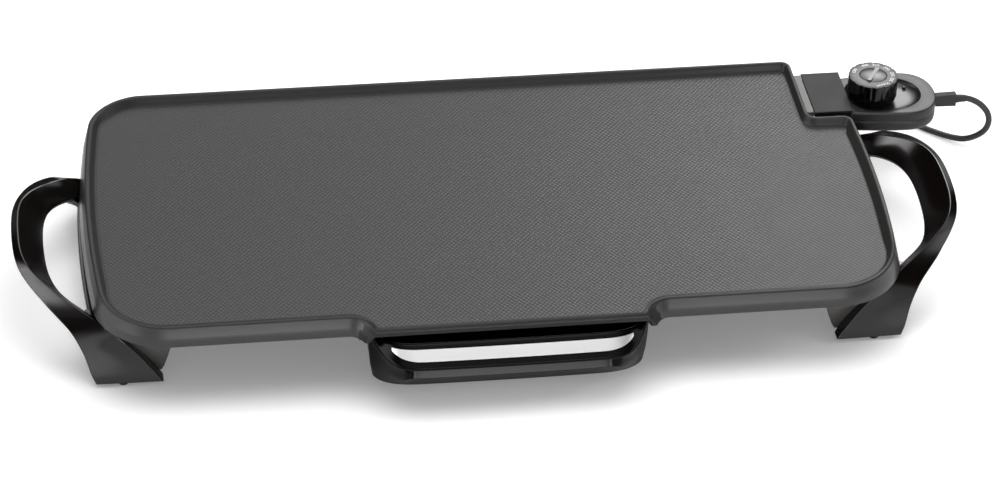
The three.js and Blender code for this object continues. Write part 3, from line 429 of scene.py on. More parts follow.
@once("node_groups")
def grain_group(name):
    """Fine surface noise: a colour shade, a roughness and a height that vary together."""
    group, given, out = new_group(
        name,
        [("Scale", "NodeSocketFloat", 400.0), ("Colour", "NodeSocketColor", (0.5, 0.5, 0.5, 1)),
         ("Shade amount", "NodeSocketFloat", 0.1), ("Roughness", "NodeSocketFloat", 0.4),
         ("Roughness amount", "NodeSocketFloat", 0.08)],
        [("Colour", "NodeSocketColor"), ("Roughness", "NodeSocketFloat"), ("Height", "NodeSocketFloat")])
    coords = coordinates(group, "Object")
    given = given.outputs
    broad_scale = math_node(group, "MULTIPLY", given["Scale"], 0.04)
    fine, broad = (add_node(group, "TexNoise", {"Vector": coords, "Scale": scale, "Detail": detail}).outputs["Fac"]
                   for scale, detail in ((given["Scale"], 3), (broad_scale, 2)))
    mixed = math_node(group, "ADD", math_node(group, "MULTIPLY", fine, 0.4), math_node(group, "MULTIPLY", broad, 0.6))
    centred = math_node(group, "SUBTRACT", mixed, 0.5)
    shade = math_node(group, "ADD", math_node(group, "MULTIPLY", centred, given["Shade amount"]), 1.0)
    rough = math_node(group, "MULTIPLY", centred, given["Roughness amount"])
    feed(group, out.inputs["Colour"], shaded(group, given["Colour"], shade))
    feed(group, out.inputs["Roughness"], math_node(group, "ADD", rough, given["Roughness"], clamp=True))
    feed(group, out.inputs["Height"], fine)
    return group


WORN_EDGES = (0.52, 0.62)           # pointiness where wear begins and where it is full; flat is 0.5


@once("node_groups")
def wear_group(name):
    """Edges rubbed lighter, where the surface turns sharply outwards."""
    group, given, out = new_group(
        name,
        [("Colour", "NodeSocketColor", (0.5, 0.5, 0.5, 1)), ("Worn colour", "NodeSocketColor", (0.7, 0.7, 0.7, 1)),
         ("Amount", "NodeSocketFloat", 0.3)],
        [("Colour", "NodeSocketColor")])
    given = given.outputs
    pointed = add_node(group, "NewGeometry", {}).outputs["Pointiness"]
    mask = math_node(group, "MULTIPLY", map_range(group, pointed, *WORN_EDGES), given["Amount"], clamp=True)
    feed(group, out.inputs["Colour"], colour_mix(group, mask, given["Colour"], given["Worn colour"]))
    return group


def new_material(name, values):
    """A material with plain values on its shader, with its node tree and its shader's sockets."""
    material = bpy.data.materials.new(name)
    material.use_nodes = True
    sockets = material.node_tree.nodes["Principled BSDF"].inputs
    for label, value in values.items():
        sockets[label].default_value = value
    return material, material.node_tree, sockets


def add_grain(tree, base, scale, shade, roughness, rough_amount):
    return add_node(tree, "Group", {"Scale": scale, "Colour": (*base, 1), "Shade amount": shade,
                                    "Roughness": roughness, "Roughness amount": rough_amount},
                    node_tree=grain_group("Surface grain")).outputs


def add_bump(tree, sockets, height, distance):
    relief = add_node(tree, "Bump", {"Strength": 1.0, "Distance": distance, "Height": height})
    feed(tree, sockets["Normal"], relief.outputs["Normal"])


@once("materials")
def finish(name, base, roughness, *, metallic=0.0, coat=0.0, scale=400.0, shade=0.12, rough_amount=0.1,
           bump=0.00002, worn=None, worn_amount=0.25, specular=0.5):
    """A material with fine grain, uneven roughness and lightly worn edges."""
    material, tree, sockets = new_material(
        name, {"Metallic": metallic, "Coat Weight": coat, "Coat Roughness": 0.05, "Specular IOR Level": specular})
    grain = add_grain(tree, base, scale, shade, roughness, rough_amount)
    worn = worn or [min(1, c * 2 + 0.02) for c in base]
    wear = add_node(tree, "Group", {"Colour": grain["Colour"], "Worn colour": (*worn, 1), "Amount": worn_amount},
                    node_tree=wear_group("Edge wear"))
    feed(tree, sockets["Base Color"], wear.outputs["Colour"])
    feed(tree, sockets["Roughness"], grain["Roughness"])
    add_bump(tree, sockets, grain["Height"], bump)
    return material


ROW_SLOPE = 0.8                     # of the diamond pattern's rows, across the plate
# Painted shade and highlight: the pattern's tops are coloured lighter and its hollows darker.
ROW_PAINTED_SHADE = 0.04                 # how far the pattern's tops and hollows differ in colour


@once("materials")
def knurled(name, base, pitch, depth):
    """Non-stick coating over a fine pressed diamond pattern."""
    material, tree, sockets = new_material(name, {"Specular IOR Level": 0.32})
    axes = split_axes(tree, coordinates(tree, "Object"))
    waves = []
    for lean in (ROW_SLOPE, -ROW_SLOPE):
        run = math_node(tree, "ADD", axes["X"], math_node(tree, "MULTIPLY", axes["Y"], lean))
        waves.append(math_node(tree, "SINE", math_node(tree, "MULTIPLY", run, math.tau / pitch)))
    bumps = math_node(tree, "MULTIPLY", math_node(tree, "ADD", *waves), 0.5)
    grain = add_grain(tree, base, scale=900, shade=0.16, roughness=0.42, rough_amount=0.12)
    # The colour is lightened on the pattern's tops and darkened in its hollows: painted highlight and shade.
    shade = math_node(tree, "MULTIPLY_ADD", bumps, ROW_PAINTED_SHADE, 1.0)
    feed(tree, sockets["Base Color"], shaded(tree, grain["Colour"], shade))
    feed(tree, sockets["Roughness"], grain["Roughness"])
    height = math_node(tree, "ADD", bumps, math_node(tree, "MULTIPLY", grain["Height"], 0.25))
    add_bump(tree, sockets, height, depth / 2)
    return material


BRUSH_STRETCH = (4, 240, 240)


@once("materials")
def brushed(name, base, roughness):
    """Metal with fine straight brush marks along X."""
    material, tree, sockets = new_material(name, {"Metallic": 0.85})
    mapping = add_node(tree, "Mapping", {"Vector": coordinates(tree, "Object"), "Scale": BRUSH_STRETCH})
    marks = add_node(tree, "TexNoise", {"Vector": mapping.outputs["Vector"], "Scale": 14, "Detail": 4}).outputs["Fac"]
    feed(tree, sockets["Roughness"], map_range(tree, marks, first=roughness * 0.75, second=roughness * 1.3))
    feed(tree, sockets["Base Color"], colour_mix(tree, marks, (*[c * 0.93 for c in base], 1), (*base, 1)))
    add_bump(tree, sockets, marks, 0.00001)
    return material


def gloss_plastic(name, base, specular=0.46):
    """Moulded plastic with a clear shine, for the handles, the tray and the dial."""
    return finish(name, base, 0.16, scale=260, shade=0.25, rough_amount=0.06, bump=0.000004, worn_amount=0.4,
                  worn=(0.008, 0.007, 0.007), specular=specular)


def satin_plastic(name, base):
    """Finely textured plastic, for the heat control."""
    return finish(name, base, 0.42, scale=1500, shade=0.2, rough_amount=0.15, bump=0.00003, worn_amount=0.4)


def black_rubber():
    """For the feet, the plug and the cord's sleeve and tie."""
    return finish("Black rubber", (0.018, 0.017, 0.016), 0.62, scale=900, shade=0.25, rough_amount=0.12,
                  bump=0.00003, worn_amount=0.3)


# ------------------------------------------------------------------ sizes that several pieces share, in millimetres

HALF_LENGTH = 279.5                 # plate, between its ends' middles
HALF_DEPTH = 143.0
END_BOW = 10.0                      # how far the ends' corners lie inside their middles
SURFACE = 62.3                      # cooking surface
UNDERSIDE = 57.3
APRON_BOTTOM = 49.5
SPOUT_FRONT = -160.5
SPOUT_ROOT = 109.5                  # half width where the spout leaves the front edge
SPOUT_HALF = 93.0                   # half width at its front
NOTCH_EDGE = 246.5                  # the plate's rear right corner is cut away for the heat control
NOTCH_FRONT = 64.8
NOTCH_RADIUS = 8.0
HANDLE_CENTRE = -8.0
FOOT_LIFT = 3.0                     # underside of the legs, above the table
FOOT_REACH = 107.5                  # from the handle's middle to its feet
CONTROL_LEFT = 283.3
CONTROL_RIGHT = 350.5
DIAL_X = 303.0
DIAL_FLOOR = 52.7                   # bottom of the recess round the dial
DIAL_FACE = 73.55                   # top of the dial, which carries the numbers
CORD_HEIGHT = 49.0                  # where the cord leaves the heat control
RELIEF_END = 367.2
COIL = (180.0, 186.0)               # middle of the coiled cord
COIL_RADIUS = 27.5
PLUG_HEIGHT = 6.7


def end_x(y):
    """The plate's bowed end."""
    return HALF_LENGTH - END_BOW * (y / HALF_DEPTH) ** 2


# ------------------------------------------------------------------ plate

def plate_outline(steps):
    front, back = -HALF_DEPTH, HALF_DEPTH
    front_radius, back_radius, pull = 47, 40, 0.55
    low, high = front + front_radius, back - back_radius
    front_x, back_x = end_x(low) - front_radius, end_x(high) - back_radius

    def corner(edge, start, x):
        """Controls of a right-hand corner, from the plate's long edge to its end."""
        between = lerp(start, edge, pull)
        return [(x, edge), (lerp(x, end_x(edge), pull), edge), (end_x(between) + 1, between), (end_x(start), start)]

    def end(side, y0, y1):
        middle = HALF_LENGTH - END_BOW * y0 * y1 / HALF_DEPTH ** 2
        return curve([(side * end_x(y0), y0), (side * middle, (y0 + y1) / 2), (side * end_x(y1), y1)], steps)

    def notch_corner(x0, y0, x1, y1, x2, y2):
        return curve([(x0, y0), (x1, y1), (x2, y2)], 8)

    spout = [(SPOUT_ROOT, front), (98, front), (SPOUT_HALF, SPOUT_FRONT)]
    points = line((-front_x, front), (-SPOUT_ROOT, front), 4) + curve(sided(spout, -1), 9)
    points += line((-SPOUT_HALF, SPOUT_FRONT), (SPOUT_HALF, SPOUT_FRONT), 6) + curve(spout[::-1], 9)
    points += line((SPOUT_ROOT, front), (front_x, front), 4) + curve(corner(front, low, front_x), steps)

    r, edge = NOTCH_RADIUS, end_x(NOTCH_FRONT)
    points += end(1, low, NOTCH_FRONT - r)
    points += notch_corner(end_x(NOTCH_FRONT - r), NOTCH_FRONT - r, edge, NOTCH_FRONT, edge - r, NOTCH_FRONT)
    points += line((edge - r, NOTCH_FRONT), (NOTCH_EDGE + r, NOTCH_FRONT), 2)
    points += notch_corner(NOTCH_EDGE + r, NOTCH_FRONT, NOTCH_EDGE, NOTCH_FRONT, NOTCH_EDGE, NOTCH_FRONT + r)
    points += line((NOTCH_EDGE, NOTCH_FRONT + r), (NOTCH_EDGE, back - r), 4)
    points += notch_corner(NOTCH_EDGE, back - r, NOTCH_EDGE, back, NOTCH_EDGE - r, back)

    points += line((NOTCH_EDGE - r, back), (-back_x, back), 8) + curve(sided(corner(back, high, back_x), -1), steps)
    points += end(-1, high, low) + curve(sided(corner(front, low, front_x), -1)[::-1], steps)
    return points


def plate_rings(outline):
    """Rings from the plate's underside out to the apron, up over the rim and in to the cooking surface."""
    spout = [smoothstep(-p.y, -SPOUT_FRONT - 5, -SPOUT_FRONT - 0.5) for p in outline]
    root = [smoothstep(-p.y, HALF_DEPTH, HALF_DEPTH + 9) for p in outline]
    raised = [smoothstep(p.y, -HALF_DEPTH + 13, -HALF_DEPTH + 58) for p in outline]
    top = [SURFACE + lerp(0.6, 5.7, w) for w in raised]
    bottom = [lerp(APRON_BOTTOM, SURFACE - 4.6, s) for s in spout]
    draft = [lerp(4.0, 0.4, s) for s in spout]
    rounding = [lerp(1.0, 3.6, s) for s in root]
    slope = [lerp(2.2, 5.5, w) * (0.45 if p.x > NOTCH_EDGE - 12 and p.y > NOTCH_FRONT - 12 else 1.0)
             for p, w in zip(outline, raised)]
    slope = [lerp(w, 0.4, s) for w, s in zip(slope, root)]
    count = len(outline)

    def ring(distances, heights):
        return [place(*p, z) for p, z in zip(offset(outline, distances), heights)]

    rings = [ring([-3.5] * count, [UNDERSIDE] * count)]
    for inset, lift in ((3, 0), (0.7, 0), (0.15, 0.25), (0, 0.9)):
        rings.append(ring([d - inset for d in draft], [b + lift for b in bottom]))
    rings.append(ring([d * 0.5 for d in draft], [(b + t) / 2 for b, t in zip(bottom, top)]))
    for angle in (0, 30, 60, 90):
        c, s = math.cos(math.radians(angle)), math.sin(math.radians(angle))
        rings.append(ring([(c - 1) * r for r in rounding], [t - r + r * s for t, r in zip(top, rounding)]))
    rim_edge = [-r - lerp(1.1, 0.2, s) for r, s in zip(rounding, root)]
    rings.append(ring(rim_edge, top))
    for way_down in (0.12, 0.3, 0.5, 0.7, 0.86, 0.95, 1.0):
        fall = smoothstep(way_down, 0, 1)
        rings.append(ring([e - 0.2 - s * way_down for e, s in zip(rim_edge, slope)],
                          [lerp(t, SURFACE, fall) for t in top]))
    rings.append(ring([e - 1.0 - s for e, s in zip(rim_edge, slope)], [SURFACE] * count))
    return rings


def build_plate(settings):
    """One casting in three finishes: outer wall, patterned surface, and rim with spout, the rim smooth and coloured
    darker as painted shade.
    """
    bm = bmesh.new()
    surface = skin(bm, plate_rings(plate_outline(settings.corner_steps)))
    front_wall, rim_foot = place(0, -HALF_DEPTH - 6, 0).y, (SURFACE - 1.2) / 1000
    pattern_slot, rim_painted_shade_slot = 1, 2
    # Faces on the rim and the spout's lip take the rim's darker colour, which is painted shade.
    for face in bm.faces:
        middle = face.calc_center_median()
        if middle.z > rim_foot or middle.y < front_wall:
            face.material_index = rim_painted_shade_slot
    for face in surface:
        face.material_index = pattern_slot
    smooth = {"scale": 1200, "rough_amount": 0.12, "worn": (0.05, 0.05, 0.05)}
    apron = finish("Smooth coating", settings.border, 0.32, shade=0.16, worn_amount=0.1, specular=0.6, **smooth)
    # The rim is smooth like the outer wall; its darker colour is painted shade.
    rim = finish("Rim coating with painted shade", settings.rim, 0.46, shade=0.2, worn_amount=0.15, specular=0.3, **smooth)
    pattern = knurled("Patterned coating", settings.coating, settings.knurl_pitch, settings.knurl_depth)
    piece("plate_casting", bm, "griddle_body", [apron, pattern, rim], ["griddle_plate"], sharp=40)


# ------------------------------------------------------------------ handles

CREST = [(233, -121.3, 3), (238.5, -119.3, 10), (249.5, -115.5, 23), (262, -111.9, 35), (276.5, -104, 45),
         (289, -95.8, 50.6), (298.4, -89.3, 55), (307.1, -82.3, 59.6), (314.6, -75.2, 63.4), (319.5, -67.5, 65.6),
         (323, -57.5, 66.5), (325.5, -43.5, 67.3), (326.3, -25, 68), (326.1, -8, 68.2), (324.9, 6, 67.9),
         (322, 17.5, 67.1), (317.2, 27, 65.8), (310.2, 36.8, 63.4), (302, 47.5, 59.4), (293, 57, 55.6),
         (283, 64, 50.4), (272, 73, 41), (262.5, 84, 30), (249.5, 95, 20), (238.5, 103, 10), (233, 105.5, 3)]
EDGE = [(279, -120.4, 3), (281.8, -118.4, 9.5), (286, -113, 22.3), (294, -105.3, 36.6), (302.8, -97.2, 44.4),
        (308.2, -91.5, 48.2), (313, -85, 51.4), (318, -78.3, 54.5), (323, -70.6, 58), (327, -62.5, 61.2),
        (329.6, -52.5, 63.6), (331, -40, 65.6), (331.5, -25, 66.7), (331.2, -8, 67.1), (329.9, 5, 67),
        (327, 17.2, 66.5), (322.6, 28.8, 65.4), (316.2, 41, 63.1), (308.2, 51.8, 59.8), (300, 60.5, 55.5),
        (295, 67.5, 48.5), (294, 75.5, 39), (293, 84, 29), (287.3, 91, 18), (282, 99, 8), (279, 105.5, 3)]
LOW_OUTER = [(279, -110.5, 3), (282, -104.5, 7.5), (286.5, -97.5, 17), (293.5, -89.5, 28), (299.5, -84, 34),
             (304, -79.5, 38), (308.5, -75.3, 41), (312, -70.5, 43), (314.3, -64.5, 43.8), (315.8, -57, 44),
             (316.8, -48, 44.2), (317.3, -37, 44.6), (317.4, -24, 45), (317.2, -8, 45.2), (316.6, 5, 45),
             (315.4, 16.5, 44.6), (313.2, 27.5, 44), (309.5, 38, 43), (304.5, 48, 41.5), (299, 56.5, 39.5),
             (296.3, 63, 36), (296, 69, 30.5), (294.5, 75, 23.5), (287.5, 81.5, 15.5), (281.5, 88, 7.5), (279, 95, 3)]
LOW_INNER = [(234.5, -110.5, 3), (240, -107.8, 10), (251, -104.8, 21), (263, -101.8, 31), (276.3, -95, 36.5),
             (286.8, -85.8, 39.5), (294.5, -80.3, 42.5), (300.1, -75, 45), (303.8, -68, 46.5), (306.4, -59.5, 46.8),
             (308.4, -50, 46.8), (309.9, -38, 47), (310.9, -22, 47.3), (311.1, -8, 47.3), (310.6, 4.3, 46.9),
             (309.4, 15, 46.1), (306.8, 25.8, 45.1), (301.6, 35.5, 44.3), (294.5, 42.5, 43.5), (286, 48, 42),
             (277.5, 53, 38.5), (270, 62, 32), (264, 73, 24), (251, 84, 16.5), (240, 92.3, 8.5), (234.5, 95, 3)]
UNDER = [(233, -112, 3), (238.5, -109.3, 10), (249.5, -106.5, 22.5), (261.5, -103.5, 34), (275, -97, 40.5),
         (285.5, -87.5, 43.5), (293, -82.3, 47), (298.5, -77, 49.6), (302.2, -69.5, 50.3), (304.8, -60.5, 50),
         (306.8, -51, 49.8), (308.3, -38.5, 49.9), (309.3, -22, 50.2), (309.5, -8, 50.2), (309, 4, 49.7),
         (307.8, 14.5, 48.8), (305.2, 25, 47.9), (300, 34.2, 47.4), (293, 41, 47), (284.5, 46, 46),
         (276, 51, 43), (268.5, 62, 36), (262.5, 75, 29), (249.5, 86, 20), (238.5, 93.8, 10), (233, 96.5, 3)]


def handle_sections(steps):
    """The grip's section at each station: crest, outer edge, its underside, and the inner face's lower edge."""
    lines = [spline(stations, steps) for stations in (CREST, EDGE, LOW_OUTER, LOW_INNER, UNDER)]
    sections = []
    for crest, edge, low_outer, low_inner, under in zip(*lines):
        broad = [crest.lerp(edge, k / 4) for k in range(5)]
        sections.append([Vector((c.x, c.y, max(FOOT_LIFT, c.z))) for c in broad + [low_outer, low_inner, under]])
    return sections


def leg_panel(bm, sign, along, thick, top):
    """The thin web that stiffens a leg on its inner side."""
    inner, outer = HALF_LENGTH - 46, HALF_LENGTH - 8
    outline = [(inner + 3, 3.5), (outer, top - 9), (outer, top), (inner - 9.5, top)]
    outline += [(inner - bulge, lerp(FOOT_LIFT, top, up)) for bulge, up in ((9, 0.8), (8, 0.6), (6.2, 0.42), (4, 0.25))]
    outline += [(inner - 1.5, 7), (inner + 0.5, 3.5)]
    known = set(bm.faces)
    plate_of(bm, sided(outline, sign), "y", along, along + thick)
    # The web takes the moulding's second material, whose pale colour is painted reflection.
    mark_new(bm, known, 1)


def edge_bar(bm, sign, inner, across, heights, beyond):
    """A bar under the plate's edge that follows the bow of its end and reaches beyond it."""
    front, back = across
    rows = [lerp(front, back, i / 12) for i in range(13)]
    outline = [(end_x(y) + beyond * smoothstep(min(y - front, back - y), -2, 14), y) for y in rows]
    outline += [(inner, back), (inner, front)]
    plate_of(bm, sided(outline, sign), "z", *heights)


def build_handle(side, sign, settings):
    """One moulding: grip and legs, with what holds the plate under its edge."""
    bm = bmesh.new()
    skin(bm, [[place(sign * c.x, c.y, c.z) for c in stations] for stations in handle_sections(settings.steps)])
    inner = HALF_LENGTH - 12
    edge_bar(bm, sign, inner, (-93, 44), (38.2, 47.4), 2.6)
    edge_bar(bm, sign, inner, (-97, 54), (36.0, 42.5), 6.3)
    rear_gusset = [(inner, 30), (277.5, 33), (281, 38), (289, 50), (297, 54), (298, 60), (inner, 74)]
    plate_of(bm, sided(rear_gusset, sign), "z", 38.5, 43.2)
    # the tongue that reaches under the plate
    left, right = sorted((sign * (inner - 34), sign * (inner + 1)))
    block(bm, (left, HANDLE_CENTRE - 30, 45.5), (right, HANDLE_CENTRE + 30, 48.7))
    front_gusset = [(inner - 4, -107), (HALF_LENGTH - 3, -101), (HALF_LENGTH + 6, -92), (HALF_LENGTH + 4, -86),
                    (inner - 4, -86)]
    plate_of(bm, sided(front_gusset, sign), "z", 30, 42.5)
    leg_panel(bm, sign, -108.2, 3.2, 47.2)
    leg_panel(bm, sign, 91, 2.5, 29)
    plastic = gloss_plastic("Gloss black plastic", settings.plastic)
    # Pale colour for the web: painted reflection of the bright floor.
    web = finish("Web plastic with painted reflection", settings.web, 0.3, scale=900, shade=0.2, worn_amount=0.2, specular=0.8)
    piece(f"{side}_grip", bm, f"{side}_handle", [plastic, web], [f"{side}_handle"], sharp=30,
          bevel=settings.edge_round, segments=3)


def build_foot(side, sign, end, way):
    """A soft pad let into a leg's end."""
    profile = [(0, 0), (2.6, 0), (3.3, 0.3), (3.6, 1), (3.6, 5), (0, 5)]
    bm = bmesh.new()
    turned(bm, profile, (sign * (HALF_LENGTH - 19), HANDLE_CENTRE + way * FOOT_REACH), 24)
    piece(f"{side}_{end}_pad", bm, f"{side}_handle", [black_rubber()], [f"{side}_{end}_foot"],
          sharp=40)


# ------------------------------------------------------------------ drip tray

TRAY_FRONT = [(-3, 11), (-0.6, 11), (0.1, 11.3), (0.8, 12.2), (8.4, 20.5), (13.5, 26), (11.2, 30.5), (9.3, 35.2),
              (10.2, 37.3), (21.2, 38.4), (22.3, 38.7), (22.8, 39.4), (22.6, 40.9), (21.8, 41.7), (20.4, 42.4),
              (12.0, 49.6), (10.4, 51.0), (8.6, 51.6), (7.4, 51.2), (7.2, 41), (5.6, 34), (-3, 14)]
TRAY_END = [(-3, 11), (-0.6, 11), (0.8, 11.4), (2.0, 12.8), (4.0, 24), (4.8, 34), (5.0, 38), (5.1, 41), (5.2, 43),
            (5.5, 46.3), (5.6, 47.3), (5.7, 48.2), (5.7, 49.2), (5.5, 50), (5.2, 50.4), (4.5, 51.1),
            (4.0, 51.4), (3.4, 51.5), (2.6, 51.0), (2.0, 44), (0.5, 34), (-3, 14)]
TRAY_SIDE = [(-3, 11), (-0.6, 11), (0.1, 11.3), (0.8, 12.2), (1.2, 19), (1.6, 26), (2.0, 31), (2.3, 35), (2.4, 36),
             (2.7, 41.5), (2.8, 42.2), (3.4, 42.2), (4.4, 42.2), (4.8, 42.5), (5, 42.9), (5, 43.5), (4.8, 43.8),
             (4.5, 44), (1.2, 44), (0.2, 43), (-1, 30), (-3, 14)]
GROOVE_FILL = {4: 0.8, 5: 1.6, 6: 6.0, 7: 9.6, 8: 9.9}      # by row: how far the pull fills out at its ends
VISOR_LOW, VISOR_HIGH = 14, 15                              # the rows of the front's upper slope
TRAY_STEPS = 14
# from front to back, where the front's section passes to the corners' and theirs to the sides'
FRONT_TO_END = (-153.4, -142)
END_TO_SIDE = (-141, -136.5)
PULL_ENDS = (67, 73)                                        # from the middle: where the pull fades out


def tray_outline():
    front, corner, back, half = -154.0, -134.0, -52.0, 92
    right = curve([(0, front), (37.2, front), (62, front + 0.6)], TRAY_STEPS)
    right += curve([(62, front + 0.6), (76, front + 1), (half, front + 4), (half, corner)], TRAY_STEPS * 2)
    right += line((half, corner), (half, -103), 2) + line((half, -103), (half, back - 9), 2)
    right += curve([(half, back - 9), (half, back), (half - 9, back)], 8)
    right += line((half - 9, back), (0, back), 3) + [Vector((0, back))]
    return right + [Vector((-p.x, p.y)) for p in reversed(right[1:-1])]


def tray_rings():
    """Rings of the tray from its floor's edge up the outside, over the top and down the inside."""
    outline = tray_outline()
    normals = [p - q for p, q in zip(offset(outline, [1.0] * len(outline)), outline)]
    rings = []
    for row, (front, end, side) in enumerate(zip(TRAY_FRONT, TRAY_END, TRAY_SIDE)):
        ring = []
        for point, normal in zip(outline, normals):
            to_end, to_side = smoothstep(point.y, *FRONT_TO_END), smoothstep(point.y, *END_TO_SIDE)
            fill = GROOVE_FILL.get(row, 0) * smoothstep(abs(point.x), *PULL_ENDS)
            out, across, height = (lerp(lerp(a, b, to_end), c, to_side) for a, b, c in (
                (front[0] + fill, end[0], side[0]), (min(front[0], 6), end[0], side[0]), (front[1], end[1], side[1])))
            ring.append(Vector((point.x + normal.x * across, point.y + normal.y * out, height)))
        rings.append(ring)
    return rings


def build_tray(settings):
    """One moulding with a hooded front that serves as its pull."""
    bm = bmesh.new()
    skin(bm, [[place(*p) for p in ring] for ring in tray_rings()])
    plastic = gloss_plastic("Tray plastic", settings.plastic, specular=0.09)
    piece("tray_moulding", bm, "drip_tray", [plastic], ["drip_tray"], sharp=32, bevel=0.0006)


def build_badge(settings):
    """A thin metal boat shape on the sloping front: straight above, curving up to its tips below."""
    rings = tray_rings()
    lower, upper = rings[VISOR_LOW], rings[VISOR_HIGH]
    half, straight = settings.badge_half * 1000, 0.74
    across = sorted((i for i in range(len(lower)) if lower[i].y < -140 and abs(lower[i].x) < half),
                    key=lambda i: lower[i].x)
    sections = []
    for i in across:
        run = max(0.0, (abs(lower[i].x) / half - straight) / (1 - straight))
        rise = 1 - math.sqrt(max(0.0, 1 - run * run))
        low = lower[i].lerp(upper[i], lerp(0.16, 0.86, rise))
        high = lower[i].lerp(upper[i], 0.94)
        before, after = lower[max(i - 1, 0)], lower[(i + 1) % len(lower)]
        outward = (after - before).cross(upper[i] - lower[i]).normalized()
        if outward.z < 0:
            outward.negate()
        sections.append([place(*(at + outward * lift)) for at, lift in (
            (high, 0.1), (high, 0.6), ((low + high) / 2, 0.7), (low, 0.6), (low, 0.1))])
    bm = bmesh.new()
    skin(bm, sections)
    metal = brushed("Badge metal", settings.badge, 0.34)
    piece("badge_crescent", bm, "drip_tray", [metal], ["tray_badge"], sharp=40, bevel=0.0002)


# ------------------------------------------------------------------ heat control

HOUSING_STEPS = 24
HOUSING_TOP = 57.0
# the recess round the dial: how far in from its edge, and its height there
BOWL = [(0.35, 56.9), (0.55, 56.6), (0.9, 56.1), (1.6, 55.3), (2.6, 54.6), (4.0, 53.9), (5.8, 53.3), (8.2, 52.9),
        (11.0, DIAL_FLOOR)]


def control_outline(shrink):
    """The housing seen from above, flat on the left and round on the right."""
    left, right = CONTROL_LEFT + shrink, CONTROL_RIGHT - shrink
    end, half = 24.3 - shrink, 28.2 - shrink
    widest = lerp(CONTROL_LEFT, CONTROL_RIGHT, 0.62)
    before, after = lerp(left, widest, 0.55), lerp(widest, right, 0.72)
    points = line((left, end), (left, -end), 6)
    points += curve([(left, -end), (before, -half), (widest, -half)], HOUSING_STEPS)
    points += curve([(widest, -half), (after, -half), (right, -half * 0.55), (right, 0)], HOUSING_STEPS)
    points += curve([(right, 0), (right, half * 0.55), (after, half), (widest, half)], HOUSING_STEPS)
    points += curve([(widest, half), (before, half), (left, end)], HOUSING_STEPS)
    return [Vector((p.x, p.y + CONTROL_LINE)) for p in points]


def recess_outline(shrink):
    """The egg-shaped bowl round the dial and the pilot light."""
    wide, back, tip = 25.0 - shrink, 20.6 - shrink * 0.9, 37.2 - shrink * 1.15
    turns = [math.pi / 2 + math.pi * i / 60 for i in range(60)]
    points = [Vector((back * math.cos(a), wide * math.sin(a))) for a in turns]
    towards_tip = [(0, wide), (12, wide), (25, wide * 0.86), (tip, wide * 0.62), (tip, 0)]
    points += curve([(x, -y) for x, y in towards_tip], 30) + curve(towards_tip[::-1], 30)
    return [Vector((DIAL_X + p.x, CONTROL_LINE + p.y)) for p in points]


def towards(outline, target):
    """The outline's points pulled in along their own rays to a smaller closed outline round the dial."""
    centre = Vector((DIAL_X, CONTROL_LINE))
    found = []
    for point in outline:
        ray = point - centre
        hits = []
        for a, b in zip(target, target[1:] + target[:1]):
            side, gap = b - a, a - centre
            spread = ray.x * side.y - ray.y * side.x
            if abs(spread) < 1e-9:
                continue
            t = (gap.x * side.y - gap.y * side.x) / spread
            u = (gap.x * ray.y - gap.y * ray.x) / spread
            if t > 0 and -1e-6 <= u <= 1 + 1e-6:
                hits.append(t)
        found.append(centre + ray * min(hits))
    return found


def level(outline, z):
    return [place(p.x, p.y, z) for p in outline]


def build_upper_housing(settings):
    """Satin walls and top, with a gloss bowl sunk in it round the dial."""
    outline, inside, rounding = control_outline(0), control_outline(2.2), 1.2
    rings = [level(inside, 51.2), level(inside, 49.75), level(outline, 49.75), level(outline, 50.4),
             level(outline, 55.7)]
    for angle in (22, 45, 67, 90):
        c, s = math.cos(math.radians(angle)), math.sin(math.radians(angle))
        rings.append(level(control_outline(rounding * (1 - c)), HOUSING_TOP - rounding * (1 - s)))
    rings.append(level(towards(outline, recess_outline(0.0)), HOUSING_TOP))
    bm = bmesh.new()
    loop = shell(bm, rings)
    known = set(bm.faces)
    for shrink, z in BOWL:
        loop = grow(bm, loop, level(towards(outline, recess_outline(shrink)), z))
    close_loop(bm, loop)
    mark_new(bm, known, 1)
    satin = satin_plastic("Satin housing plastic", settings.housing)
    gloss = finish("Gloss recess", (0.012, 0.012, 0.012), 0.3, scale=700, shade=0.2, worn_amount=0.1)
    piece("housing_top", bm, "heat_control", [satin, gloss], ["control_upper_housing"], sharp=38)


def build_lower_housing(settings):
    """Closes the housing from below and leaves a fine seam."""
    profile = [(3.7, 42.7), (2.2, 44.5), (2.2, 49.45), (0.25, 49.45), (0.0, 49.1), (0.0, 44.0), (0.35, 42.4),
               (1.2, 41.2), (3.0, 40.5)]
    bm = bmesh.new()
    skin(bm, [level(control_outline(shrink), z) for shrink, z in profile])
    satin = satin_plastic("Satin housing plastic", settings.housing)
    piece("housing_base", bm, "heat_control", [satin], ["control_lower_housing"], sharp=38)


def build_guard(settings):
    """The hood over the contacts: a roof, two sides and an end wall down to the housing's top."""
    left, right, top = 254.3, 283.0, 61.0
    front, back = CONTROL_LINE - 27.1, CONTROL_LINE + 27.1
    bm = bmesh.new()
    block(bm, (left, front, top - 1.8), (right, back, top))
    for y in (front + 1.8, back - 3.6):
        block(bm, (left + 1, y, 43.0), (right, y + 1.8, 59.4))
    block(bm, (right - 1.8, front + 1.0, 55.8), (right, back - 1.0, 59.4))
    satin = finish("Guard plastic", [c * 0.9 for c in settings.housing], 0.4, scale=1300, shade=0.18,
                   rough_amount=0.14, bump=0.00003, worn_amount=0.4, worn=(0.12, 0.12, 0.115), specular=0.07)
    piece("guard_hood", bm, "heat_control", [satin], ["control_guard"], sharp=30, bevel=0.0007,
          segments=3)


def build_terminal_block():
    """Keeps the shape it has and gets finer edges and a cast finish."""
    cast = finish("Cast terminal block", (0.075, 0.072, 0.066), 0.5, scale=900, shade=0.3, rough_amount=0.16,
                  bump=0.00006, worn_amount=0.4, worn=(0.25, 0.25, 0.25))
    piece("terminal_block", copy_of("terminal_guard"), "griddle_body", [cast], ["terminal_guard"],
          sharp=30, bevel=0.0004)


